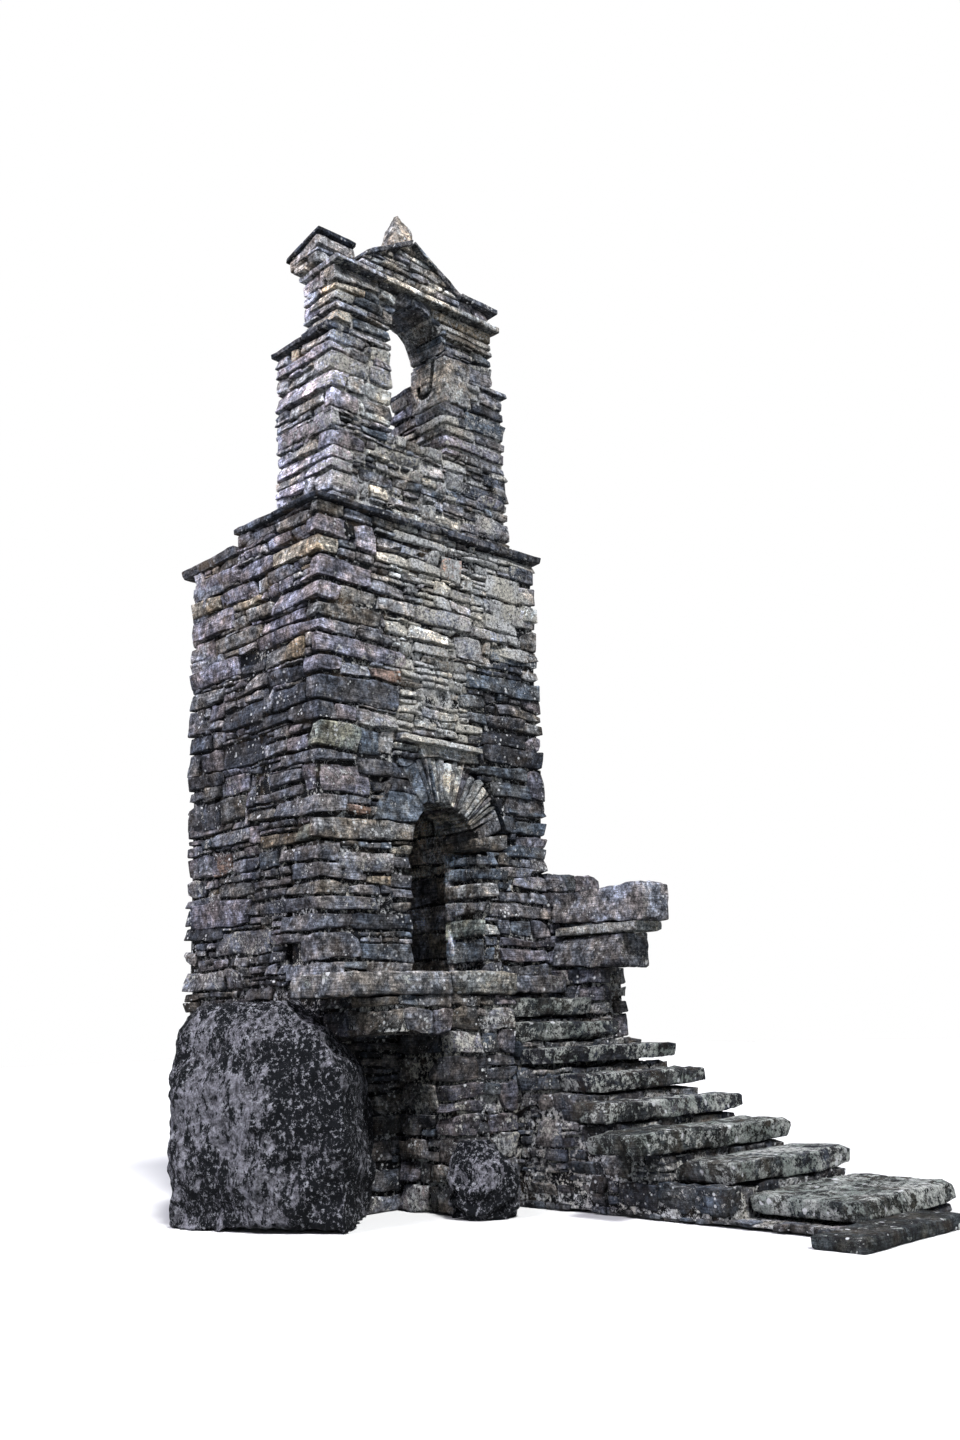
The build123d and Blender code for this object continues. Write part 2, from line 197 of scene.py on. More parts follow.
# How a single stone is worn: depths are shares of its smallest size, where that is under SMALL
SMALL = 0.2
CHIP_DEPTH = 0.36
SWELL_LENGTH, SWELL = 0.3, 0.010
RIPPLE_LENGTH, RIPPLE = 0.09, 0.07
LEAN, MOST_LEAN = 0.045, 0.4
TAPER = 0.14
TILT = 0.03

# Lightness of its underside and its arrises: dirt and painted shade darken the underside and the lower and
# upright arrises, rain wash and a painted highlight pale the upper ones
UNDERSIDE_DIRT_AND_SHADE, UPRIGHT_ARRIS_DIRT_AND_SHADE, UPPER_ARRIS_WASH_AND_HIGHLIGHT, LOWER_ARRIS_DIRT_AND_SHADE = 0.4, 0.7, 1.15, 0.45


def rounded_block(size, edge, step):
    """A block's surface points about its middle, their cells in its grid, and its faces."""
    lines = [grid_lines(size[axis], edge, step[axis]) for axis in range(3)]
    cells, faces = block_grid(*[len(line) for line in lines])
    unit = np.stack([lines[axis][cells[:, axis]] for axis in range(3)], 1)
    points = (unit - 0.5) * size
    half = size / 2
    radius = np.minimum(edge, half * 0.6)
    inner = np.clip(points, -(half - radius), half - radius)
    out = (points - inner) / radius
    reach = np.linalg.norm(out, axis=1, keepdims=True)
    return inner + out / np.maximum(reach, 1) * radius, cells, faces


def arris_dirt_and_painted_light(cells):
    """Lightness of each point of a block: dirt and painted shade on the underside and the lower and upright
    arrises, rain wash and a painted highlight on the upper arrises.
    """
    ends = (cells == 0) | (cells == cells.max(0))
    arris = ends.sum(1) > 1
    shade = np.where(cells[:, UP] > 0, 1.0, UNDERSIDE_DIRT_AND_SHADE)
    shade[arris] = UPRIGHT_ARRIS_DIRT_AND_SHADE
    level = arris & ends[:, UP]
    shade[level] = np.where(cells[level, UP] > 0, UPPER_ARRIS_WASH_AND_HIGHLIGHT, LOWER_ARRIS_DIRT_AND_SHADE)
    return shade


def chip(rng, points, size, small, rough):
    """Breaks a corner or an arris of a block off by a flat cut."""
    side = rng.choice([-1, 0, 1], 3, p=(0.42, 0.16, 0.42))
    normal = side * rng.uniform(0.25, 1, 3) / np.maximum(size, 0.05)
    length = np.linalg.norm(normal)
    if length == 0:
        return
    normal /= length
    depth = rng.uniform(0.1, 1.0) ** 2 * CHIP_DEPTH * small * rough
    over = np.maximum(points @ normal - (np.abs(normal) @ (size / 2) - depth), 0)
    points -= over[:, None] * normal


def slant(rng, points, size, rough):
    """Leans the ends of a block and brings its beds together towards one end."""
    lean = rng.uniform(-1, 1, 2) * min(MOST_LEAN, LEAN / size[UP]) * rough
    points[:, :UP] += points[:, UP:] * lean
    longer = 0 if size[0] > size[1] else 1
    along = points[:, longer] / (size[longer] / 2)
    taper = rng.uniform(-1, 1)
    points[:, UP] *= 1 - TAPER * abs(taper) * rough * (1 + np.sign(taper) * np.clip(along, -1, 1))
    points[:, UP] += along * rng.uniform(-TILT, TILT) * min(size[UP], SMALL) * rough


def stone(group, low, high, tone, warp=None, rough=1.0, step=STEP, edge=0.014, chips=5):
    """One rough block between two corners. warp maps its points to their place in the wall."""
    rng = group.rng
    low, high = np.array(low, float), np.array(high, float)
    size = high - low
    small = min(size.min(), SMALL)
    points, cells, faces = rounded_block(size, edge, step)
    for _ in range(chips):
        chip(rng, points, size, small, rough)
    points += waves(rng, points, SWELL_LENGTH, SWELL * rough)
    points += waves(rng, points, RIPPLE_LENGTH, RIPPLE * small * rough)
    slant(rng, points, size, rough)
    points += (low + high) / 2
    if warp is not None:
        points = warp(points)
    tones = np.tile(np.asarray(tone, float), (len(points), 1))
    # Paints shade and highlights, with dirt and wash, onto the block's underside and arrises
    tones[:, :3] *= arris_dirt_and_painted_light(cells)[:, None]
    group.add(points, faces, tones)


# Sines that make up the wandering of the beds: height, turns along x and along y, shift with level
BED_SINES = ((0.5, 1.9, 1.3, 5.1), (0.3, -3.7, 4.1, 3.3), (0.35, 9.1, -7.7, 2.7))
LEVEL_KEY = 7.3


def bed_wander(points, level, amount):
    """How far a bed lies above or below its level; the same on every side, so corners meet."""
    x, y = points[:, 0], points[:, 1]
    key = level * LEVEL_KEY
    return amount * sum(high * np.sin(a * x + b * y + c * key) for high, a, b, c in BED_SINES)


def follow_beds(levels, amount=WANDER):
    """Warp that bends stones between the wandering beds at the given levels."""
    levels = np.array(levels)

    def warp(points):
        place = np.interp(points[:, UP], levels, np.arange(len(levels)))
        low, high = int(place.min()), min(int(place.max()) + 1, len(levels) - 1)
        moves = np.stack([bed_wander(points, level, amount) for level in levels[low : high + 1]])
        under = np.clip(place.astype(int) - low, 0, max(len(moves) - 2, 0))
        over = np.minimum(under + 1, len(moves) - 1)
        share = place - low - under
        rows = np.arange(len(points))
        points = points.copy()
        points[:, UP] += moves[under, rows] * (1 - share) + moves[over, rows] * share
        return points

    return warp


def courses(rng, low, high, thin, thick):
    """Bed levels from low to high, each course between thin and thick."""
    levels = [low]
    while levels[-1] < high - thick:
        levels.append(levels[-1] + rng.uniform(thin, thick))
    gap = high - levels[-1]
    if gap > thick:
        levels.append(levels[-1] + gap / 2)
    return [*levels, high]


# Colours of the stones, linear
GREY = (0.250, 0.250, 0.274)
MAUVE = (0.285, 0.268, 0.308)
BROWN = (0.262, 0.247, 0.232)
DARK = (0.105, 0.111, 0.130)
OCHRE = (0.38, 0.325, 0.255)
CREAM = (0.53, 0.52, 0.485)
RUST = (0.275, 0.195, 0.162)
BLUE = (0.150, 0.172, 0.202)
GREEN = (0.245, 0.262, 0.236)
QUARTZ = (0.76, 0.76, 0.77)
ROCK = (0.150, 0.149, 0.172)
# Darkest slate, which also paints the shade on slab edges under their overhangs
SHADED_DARK = (0.055, 0.060, 0.074)
# Near-black of the cores behind the joints: painted shade deep in the gaps
JOINT_PAINTED_SHADE = (0.008, 0.009, 0.011, 1.0)

WALL_PALETTE = (GREY, GREY, MAUVE, BROWN, DARK, GREY)
SLAB_PALETTE = (DARK, BLUE, GREY)
SHADED_DARK_PALETTE = (SHADED_DARK, DARK, SHADED_DARK)
# Dark treads: moss, and painted shade on them
STEP_PALETTE = ((0.075, 0.080, 0.078), (0.115, 0.120, 0.118), SHADED_DARK)

BARE_LIGHTNESS = 0.22
BARE_READINESS = 0.35


def with_lichen(rng, tone):
    """A stone's tone with its own readiness for lichen; dark and blue stones stay bare."""
    most = BARE_READINESS if max(tone[:3]) < BARE_LIGHTNESS else 1.0
    return np.append(tone[:3], rng.uniform(0, 1) ** 1.5 * most)


def near_tone(rng, tone):
    """A given tone, made a little lighter or darker."""
    return with_lichen(rng, np.array(tone) * rng.uniform(0.85, 1.15))


def pick_tone(rng, palette):
    """A colour between two of a palette's, made a little lighter or darker."""
    first, second = rng.choice(len(palette), 2)
    share = rng.uniform(0, 1)
    mixed = np.array(palette[first]) * (1 - share) + np.array(palette[second]) * share
    return with_lichen(rng, mixed * rng.uniform(0.62, 1.38))


# For each side: the axis it runs along, the place of its plane in a box, and which way it faces
SIDES = {"front": (0, 2, -1), "back": (0, 3, 1), "left": (1, 0, -1), "right": (1, 1, 1)}


def at(value, place, level):
    """A setting of a style there: the value itself, or what its function gives."""
    return value(place, level) if callable(value) else value


def placed(style, bed):
    """Warp that bends a stone between beds and then trims it as a style asks."""
    mend = style.get("mend")
    return (lambda points: mend(bed(points))) if mend else bed


# How a part of a wall is split: lengths of stones, least sizes that are split, and cut margins
SHORTEST, LONGEST = 0.16, 0.85
ALWAYS_SPLIT = 0.75
SPLIT_HEIGHT, SPLIT_LENGTH = 0.095, 0.24
LONG_MARGIN, LEVEL_MARGIN, SHORT_MARGIN = 0.3, 0.28, 0.35


def divide(rng, part, style):
    """Splits a part of a wall face into the faces of single stones."""
    left, right, low, high = part
    length, height = right - left, high - low
    longest = np.clip(height * rng.uniform(*style["ratio"]), SHORTEST, LONGEST)
    split = at(style["split"], (left + right) / 2, (low + high) / 2)
    if length > max(1.6 * longest, ALWAYS_SPLIT):
        upright, margin = True, LONG_MARGIN
    elif height > SPLIT_HEIGHT and rng.uniform() < split * min(1.0, 4 * height):
        upright, margin = False, LEVEL_MARGIN
    elif length > max(longest, SPLIT_LENGTH):
        upright, margin = True, SHORT_MARGIN
    else:
        return [part]
    share = rng.uniform(margin, 1 - margin)
    if upright:
        cut = left + length * share
        halves = ((left, cut, low, high), (cut, right, low, high))
    else:
        cut = low + height * share
        halves = ((left, right, low, cut), (left, right, cut, high))
    return divide(rng, halves[0], style) + divide(rng, halves[1], style)


# Rubble that fills: its narrowest stretch, joints, how far faces stand out, least share seen
NARROWEST = 0.04
SIDE_GAP, BED_GAP, MOST_BED_GAP = (0.002, 0.012), (0.001, 0.012), 0.17
PROUD = (-0.032, 0.006)
LEAST_SEEN = 0.15
INWARD_COARSER = 2.5


def fill(group, wall, part, levels, depth, style):
    """Fills a part of a wall face with rubble.

    wall is the axis that the face runs along, its plane and which way it looks; levels are the
    beds that its stones follow.
    """
    if part[1] - part[0] < NARROWEST:
        return
    rng = group.rng
    axis, face, outward = wall
    across = 1 - axis
    warp = placed(style, follow_beds(levels))
    step = list(style.get("step", STEP))
    step[across] *= INWARD_COARSER
    for start, end, bottom, top in divide(rng, part, style):
        near = face + outward * rng.uniform(*style.get("proud", PROUD))
        far = face - outward * depth
        if style.get("jamb") in (start, end):
            far = style["through"]
        side_gap, bed_gap = rng.uniform(*SIDE_GAP), rng.uniform(*BED_GAP, 2)
        bed_gap = np.minimum(bed_gap, (top - bottom) * MOST_BED_GAP)
        lower, upper = np.zeros(3), np.zeros(3)
        lower[axis], upper[axis] = start + side_gap, end - side_gap
        lower[UP], upper[UP] = bottom + bed_gap[0], top - bed_gap[1]
        if "keep" in style:
            share = style["keep"](lower, upper)
            if share < LEAST_SEEN:
                continue
            if share < 1:
                far = style["through"]
        lower[across], upper[across] = min(near, far), max(near, far)
        if rng.uniform() < style["missing"]:
            continue
        tone = pick_tone(rng, at(style["palette"], (start + end) / 2, (bottom + top) / 2))
        stone(group, lower, upper, tone, warp, style.get("rough", 1.0), step)


def free_parts(part, laid, touch=0.01, least=(0.045, 0.03)):
    """What is left of a part of a wall face beside the parts where stones are laid."""
    parts = [part]
    for start, end, low, high in laid:
        cut = []
        for left, right, bottom, top in parts:
            beside = start > right - touch or end < left + touch
            if beside or low > top - touch or high < bottom + touch:
                cut.append((left, right, bottom, top))
                continue
            inner = max(left, start), min(right, end)
            cut += [(left, start, bottom, top), (end, right, bottom, top)]
            cut += [(*inner, bottom, low), (*inner, high, top)]
        parts = [row for row in cut if row[1] - row[0] > least[0] and row[3] - row[2] > least[1]]
    return parts


# Corner stones: their short reach, most of a side they take, insets, joints, and high courses
SHORT_REACH, MOST_OF_SIDE = (0.2, 0.3), 0.46
QUOIN_INSET, QUOIN_JOINT, QUOIN_BED = 0.022, 0.005, 0.006
CORNER_NEAR, CORNER_FAR = 0.06, 0.12
HIGH_COURSE, TALL_COURSE, LAYERED = 0.2, 0.33, 0.25


def lay_quoin(rng, group, box, corner, along, course, levels, style):
    """Lays the corner stone of a course, in two layers where the course is high."""
    inset = rng.uniform(0.0, QUOIN_INSET, 2)
    lower, upper = [], []
    for axis, far in enumerate(corner):
        if far:
            lower.append(box[2 * axis + 1] - along[axis] + QUOIN_JOINT)
            upper.append(box[2 * axis + 1] - inset[axis])
        else:
            lower.append(box[2 * axis] + inset[axis])
            upper.append(box[2 * axis] + along[axis] - QUOIN_JOINT)
    tone = pick_tone(rng, style.get("quoins", WALL_PALETTE))
    low, high = course
    layers = [low, high]
    if high - low > TALL_COURSE or (high - low > HIGH_COURSE and rng.uniform() < LAYERED):
        layers.insert(1, low + (high - low) * rng.uniform(0.4, 0.6))
    warp = placed(style, follow_beds(levels))
    for bottom, top in pairwise(layers):
        ends = [*lower, bottom + QUOIN_BED], [*upper, top - QUOIN_BED]
        stone(group, *ends, tone, warp, style.get("rough", 1.0), chips=6)


def lay_mass(pick, box, levels, depth, style_at, gap=None, quoin=(0.42, 0.78), seed=1, laid=None):
    """Lays a squared mass in courses: corner stones first, then rubble between them.

    pick gives the group for a side and a height, style_at the style there. gap is the stretch
    of the front left open. laid holds, for each side, the parts where stones were set before;
    with it the corner stones of the near corner are left to those.
    """
    rng = np.random.default_rng(SEED * 100 + seed)
    laid = laid or {}
    for number, (low, high) in enumerate(pairwise(levels)):
        middle = (low + high) / 2
        reach = {}
        for right in (0, 1):
            for back in (0, 1):
                long, short = rng.uniform(*quoin), rng.uniform(*SHORT_REACH)
                if (number + right + back) % 2:
                    long, short = short, long
                along = [
                    min(long, (box[1] - box[0]) * MOST_OF_SIDE),
                    min(short, (box[3] - box[2]) * MOST_OF_SIDE),
                ]
                side, other = "back" if back else "front", "right" if right else "left"
                corner = (box[0] + CORNER_NEAR, box[0] + CORNER_FAR)
                if right:
                    corner = (box[1] - CORNER_FAR, box[1] - CORNER_NEAR)
                if laid and not right and not back:
                    reach[side, right] = reach[other, back] = 0.0
                elif not free_parts((*corner, low, high), laid.get(side, ())):
                    reach[side, right], reach[other, back] = 0.0, depth
                else:
                    reach[side, right], reach[other, back] = along
                    style = style_at(side, middle)
                    group = pick(side, middle)
                    lay_quoin(rng, group, box, (right, back), along, (low, high), levels, style)
        for side, (axis, plane, outward) in SIDES.items():
            style = style_at(side, middle)
            start = box[2 * axis] + reach[side, 0]
            end = box[2 * axis + 1] - reach[side, 1]
            stretches = {(start, end): {}}
            if gap and side == "front" and gap["low"] < middle < gap["high"]:
                stretches = {
                    (start, gap["left"]): {"jamb": gap["left"], "through": gap["through"]},
                    (gap["right"], end): {"jamb": gap["right"], "through": gap["through"]},
                }
            wall = (axis, box[plane], outward)
            for stretch, change in stretches.items():
                for part in free_parts((*stretch, low, high), laid.get(side, ())):
                    fill(pick(side, middle), wall, part, levels, depth, {**style, **change})


def corner_parts(box, rows):
    """The parts of the front and the left side that the stones of the near corner take."""
    return {
        "front": [(box[0], box[0] + row[2], *row[:2]) for row in rows],
        "left": [(box[2], box[2] + row[3], *row[:2]) for row in rows],
    }


# Stones set one by one: the inset of corner stones, and the joints round all of them
SET_INSET, SET_SIDE, SET_BED = 0.016, 0.004, 0.003
SET_PROUD, SET_GAP = (-0.03, 0.006), (0.002, 0.009)


def set_corner(pick, box, levels, rows):
    """Lays the stones of the near corner: low, high, reach along the front and the left, tone."""
    for low, high, along_front, along_left, tone in rows:
        group = pick("front", (low + high) / 2)
        inset = group.rng.uniform(0.0, SET_INSET, 2)
        lower = [box[0] + inset[0], box[2] + inset[1], low + SET_BED]
        upper = [box[0] + along_front - SET_SIDE, box[2] + along_left - SET_SIDE, high - SET_SIDE]
        shade = near_tone(group.rng, tone)
        stone(group, lower, upper, shade, follow_beds(levels), rough=0.9, chips=7)


def set_stone(group, side, box, levels, row, depth, style):
    """Lays a single stone on one side of a mass; its row is start, end, low, high and tone."""
    axis, plane, outward = SIDES[side]
    start, end, low, high, tone = row
    rng = group.rng
    near = box[plane] + outward * rng.uniform(*SET_PROUD)
    through = start == DOOR_RIGHT or end == DOOR_LEFT
    far = box[plane] - outward * (FRONT_INNER - SHAFT_FRONT if through else depth)
    lower, upper = np.zeros(3), np.zeros(3)
    gaps = rng.uniform(*SET_GAP, 4)
    lower[axis], upper[axis] = start + gaps[0] * (not through), end - gaps[1] * (not through)
    lower[1 - axis], upper[1 - axis] = min(near, far), max(near, far)
    lower[UP], upper[UP] = low + gaps[2], high - gaps[3]
    warp = placed(style, follow_beds(levels))
    stone(group, lower, upper, near_tone(rng, tone), warp, rough=0.85, chips=7)


def face_samples(low, high):
    """Places across and up the face of a stone, between two corners."""
    return np.meshgrid(np.linspace(low[0], high[0], 7), np.linspace(low[UP], high[UP], 5))


FOOT_OF_HEAD = 0.02


def round_opening(centre, level, radius):
    """How much of a stone's face lies outside a round head, and a trim that keeps it outside."""

    def keep(low, high):
        x, z = face_samples(low, high)
        outside = (np.hypot(x - centre, z - level) > radius) | (z < level)
        return outside.mean()

    def mend(points):
        dx, dz = points[:, 0] - centre, points[:, UP] - level
        reach = np.maximum(np.hypot(dx, dz), WELD)
        push = np.where((reach < radius) & (dz > -FOOT_OF_HEAD), radius / reach, 1.0)
        return np.stack([centre + dx * push, points[:, 1], level + dz * push], 1)

    return {"keep": keep, "mend": mend}


CORE_INSET = 0.05


def add_core(group, *nodes, inset=CORE_INSET):
    """Near-black bodies a little inside the faces of nodes, only seen at the bottom of the joints, as
    painted shade.
    """
    for node in nodes:
        shape = welded(node)
        points = []
        for vertex in shape.verts:
            normals = np.array([face.normal for face in vertex.link_faces])
            move = np.linalg.pinv(normals, rcond=0.2) @ np.full(len(normals), inset)
            points.append(np.array(vertex.co) - move)
        faces = [[vertex.index for vertex in face.verts] for face in shape.faces]
        group.add(np.array(points), faces, JOINT_PAINTED_SHADE)
        shape.free()


def build_rubble(group, *nodes, inset=CORE_INSET):
    """Makes a piece of rubble, with near-black cores behind its joints as painted shade."""
    add_core(group, *nodes, inset=inset)
    group.build(masonry, "rubble_masonry", *nodes)


def add_bed(group, box, level, inset=0.06, half=0.07):
    """A near-black layer just inside the faces of a mass, from one core to the next, as painted shade in
    the joint.
    """
    low = [box[0] + inset, box[2] + inset, level - half]
    high = [box[1] - inset, box[3] - inset, level + half]
    stone(group, low, high, JOINT_PAINTED_SHADE, rough=0.0, step=COARSE, chips=0)


# Split slabs: joints, grid, shifts of the cuts between rows and between slabs, uneven thickness
SLAB_JOINT = 0.003
SLAB_STEP = (0.09, 0.09, 0.04)
ROW_SHIFT, CUT_SHIFT, THINNER = 0.1, 0.22, 0.12


def cuts_between(rng, low, high, count, shift):
    """Even places from low to high, the inner ones shifted by a share of their spacing."""
    cuts = np.linspace(low, high, count + 1)
    cuts[1:-1] += rng.uniform(-shift, shift, count - 1) * (high - low) / count
    return cuts


def tile_slabs(group, low, high, counts, warp=None, ragged=0.03, palette=SLAB_PALETTE):
    """Covers a plate with split slabs whose outer edges are ragged."""
    rng = group.rng
    rows = cuts_between(rng, low[1], high[1], counts[1], ROW_SHIFT)
    for row in range(counts[1]):
        cuts = cuts_between(rng, low[0], high[0], counts[0], CUT_SHIFT)
        for column in range(counts[0]):
            lower = [cuts[column] + SLAB_JOINT, rows[row] + SLAB_JOINT, low[UP]]
            upper = [cuts[column + 1] - SLAB_JOINT, rows[row + 1] - SLAB_JOINT, high[UP]]
            for axis, place in enumerate((column, row)):
                if place == 0:
                    lower[axis] += rng.uniform(0, ragged)
                if place == counts[axis] - 1:
                    upper[axis] -= rng.uniform(0, ragged)
            upper[UP] -= rng.uniform(0, THINNER) * (high[UP] - low[UP])
            tone = pick_tone(rng, palette)
            stone(group, lower, upper, tone, warp, 0.7, SLAB_STEP, edge=0.012, chips=7)


# Materials
class Shader:
    """Small helper that wires up the nodes of a material, or of the world."""

    def __init__(self, owner):
        owner.use_nodes = True
        self.owner = owner
        self.nodes = owner.node_tree.nodes
        self.links = owner.node_tree.links
        self.nodes.clear()
        self.where = self.nodes.new("ShaderNodeTexCoord").outputs["Object"]

    def node(self, kind, *first, **named):
        """A new node whose first inputs, and those named, are the given values or sockets."""
        node = self.nodes.new(kind)
        for key, value in [*enumerate(first), *named.items()]:
            if isinstance(value, bpy.types.NodeSocket):
                self.links.new(value, node.inputs[key])
            else:
                node.inputs[key].default_value = value
        return node

    def stretch(self, scale):
        return self.node("ShaderNodeMapping", Scale=scale, Vector=self.where).outputs["Vector"]

    def noise(self, scale, detail=6.0, rough=0.6, vector=None, distortion=0.0):
        looks = {"Scale": scale, "Detail": detail, "Roughness": rough, "Distortion": distortion}
        return self.node("ShaderNodeTexNoise", Vector=vector or self.where, **looks).outputs["Fac"]

    def cells(self, scale):
        return self.node("ShaderNodeTexVoronoi", Scale=scale, Vector=self.where).outputs["Distance"]

    def maths(self, operation, first, second):
        node = self.node("ShaderNodeMath", first, second)
        node.operation = operation
        return node.outputs[0]

    def times(self, first, second):
        return self.maths("MULTIPLY", first, second)

    def plus(self, first, second):
        return self.maths("ADD", first, second)

    def between(self, value, low, high, to_low=0.0, to_high=1.0):
        """Goes smoothly from to_low to to_high while the value goes from low to high."""
        ends = {"From Min": low, "From Max": high, "To Min": to_low, "To Max": to_high}
        node = self.node("ShaderNodeMapRange", Value=value, **ends)
        node.interpolation_type = "SMOOTHSTEP"
        return node.outputs["Result"]

    def mix(self, share, first, second, blend="MIX"):
        """Blends two colours, each a socket or a tuple of red, green and blue."""
        node = self.node("ShaderNodeMix", share)
        node.data_type = "RGBA"
        node.blend_type = blend
        for socket, value in ((node.inputs[6], first), (node.inputs[7], second)):
            if isinstance(value, tuple):
                socket.default_value = (*value, 1.0)
            else:
                self.links.new(value, socket)
        return node.outputs[2]

    def shaded(self, colour, value):
        """A colour times a single value."""
        grey = self.node("ShaderNodeCombineColor", Red=value, Green=value, Blue=value)
        return self.mix(1.0, colour, grey.outputs[0], "MULTIPLY")

    def attribute(self, name):
        """The colour and the fourth value of an attribute of the points."""
        node = self.nodes.new("ShaderNodeAttribute")
        node.attribute_name = name
        return node.outputs["Color"], node.outputs["Alpha"]

    def bump(self, height, strength, distance, under=None):
        node = self.node("ShaderNodeBump", Height=height, Strength=strength, Distance=distance)
        if under is not None:
            self.links.new(under, node.inputs["Normal"])
        return node.outputs["Normal"]

    def camera_sees(self):
        """A value that is 1 in what the camera sees straight or mirrored, and 0 in other light."""
        path = self.nodes.new("ShaderNodeLightPath").outputs
        return self.maths("MAXIMUM", path["Is Camera Ray"], path["Is Glossy Ray"])

    def surface(self, colour, roughness, **more):
        looks = {"Base Color": colour, "Roughness": roughness, **more}
        shader = self.node("ShaderNodeBsdfPrincipled", **looks)
        self.node("ShaderNodeOutputMaterial", Surface=shader.outputs[0])

    def stone_surface(self, colour, roughness, normal):
        self.surface(colour, roughness, **{"Normal": normal, "Specular IOR Level": DULL})
        return self.owner


PALE_CRUSTS = ((0.74, 0.75, 0.77), (0.74, 0.71, 0.64))
STEP_CRUSTS = ((0.30, 0.34, 0.315), (0.62, 0.64, 0.61))
CRUST_DIRT = (0.12, 0.12, 0.125)
CRUST_PITS = (0.025, 0.026, 0.03)
SPOT_WHITE = (0.72, 0.73, 0.75)
SOOT = (0.016, 0.017, 0.021)
RUST_DARK, RUST_LIGHT = (0.14, 0.095, 0.065), (0.36, 0.27, 0.18)
DULL = 0.1
TINT_COOL, TINT_WARM = (0.91, 0.99, 1.11), (1.09, 1.0, 0.90)


def stone_material(name, lichen_scale=1.0, foliation=34.0, crusts=PALE_CRUSTS):
    """Weathered schist: per-stone tone, foliation, stains and crusts of lichen."""
    look = Shader(bpy.data.materials.new(name))
    tone, readiness = look.attribute("tone")
    growth, lightness_and_painted_light = look.attribute("growth")
    pale, stain, ochre = look.node("ShaderNodeSeparateColor", Color=growth).outputs[:3]

    # The bare stone: mottled at several sizes, split in fine layers, and made lighter or darker by the
    # lightness of its points, which holds painted light and shade
    middle = look.noise(12, 10, 0.78)
    grit = look.noise(31, 8, 0.78)
    layers = look.noise(2.4, 7, 0.7, look.stretch((1.4, 1.4, foliation)), 0.4)
    value = look.between(middle, 0.38, 0.62, 0.25, 1.9)
    value = look.times(value, look.between(layers, 0.38, 0.62, 0.55, 1.35))
    value = look.times(value, look.between(grit, 0.40, 0.60, 0.5, 1.5))
    value = look.times(value, look.between(look.noise(5.2, 8, 0.72), 0.42, 0.58, 0.6, 1.35))
    value = look.times(value, look.between(look.noise(1.7, 3), 0.3, 0.7, 0.85, 1.15))
    value = look.times(value, look.plus(lightness_and_painted_light, 0.5))
    colour = look.shaded(tone, value)
    tint = look.mix(look.between(look.noise(4.3, 5, 0.65), 0.38, 0.62), TINT_COOL, TINT_WARM)
    colour = look.mix(1.0, colour, tint, "MULTIPLY")

    # Rust and black stains
    rust = look.times(look.between(look.noise(3.7, 8, 0.68), 0.5, 0.66), ochre)
    colour = look.mix(rust, colour, look.mix(look.between(grit, 0.35, 0.65), RUST_DARK, RUST_LIGHT))
    soot = look.times(look.between(look.noise(6.5, 10, 0.8), 0.46, 0.56), stain)
    colour = look.mix(soot, colour, SOOT)

    # Crusts of lichen, dirty and pitted, and small round spots
    pale = look.times(pale, look.plus(look.times(readiness, 1.1), 0.5))
    patches = look.noise(6.5 * lichen_scale, 10, 0.85, None, 0.3)
    flecks = look.noise(26 * lichen_scale, 8, 0.8)
    crust = look.plus(patches, look.times(flecks, 0.9))
    edge = look.maths("SUBTRACT", 1.17, look.times(pale, 0.34))
    cover = look.between(crust, edge, look.plus(edge, 0.03))
    crust_tone = look.mix(look.between(look.noise(2.6, 4), 0.4, 0.6), *crusts)
    dirt = look.between(look.noise(37, 6, 0.75), 0.40, 0.56, 0.75, 0.0)
    crust_tone = look.mix(dirt, crust_tone, CRUST_DIRT)
    pits = look.between(look.noise(24, 7, 0.78), 0.545, 0.585)
    colour = look.mix(cover, colour, look.mix(pits, crust_tone, CRUST_PITS))
    spot_size = look.between(look.noise(7.0, 3), 0.35, 0.65, 0.05, 0.26)
    spots = look.between(look.cells(17 * lichen_scale), spot_size, look.plus(spot_size, 0.03), 1.0, 0.0)
    spots = look.times(spots, look.between(look.noise(3.3, 4), 0.48, 0.56))
    colour = look.mix(spots, colour, SPOT_WHITE)

    normal = look.bump(layers, 0.7, 0.035)
    normal = look.bump(middle, 1.0, 0.05, normal)
    normal = look.bump(grit, 1.0, 0.02, normal)
    normal = look.bump(cover, 0.3, 0.004, normal)
    return look.stone_surface(colour, look.between(middle, 0.2, 0.8, 0.78, 0.95), normal)


BLACK_CRUST = (0.005, 0.006, 0.008)
ROCK_FLECKS = (0.33, 0.335, 0.37)


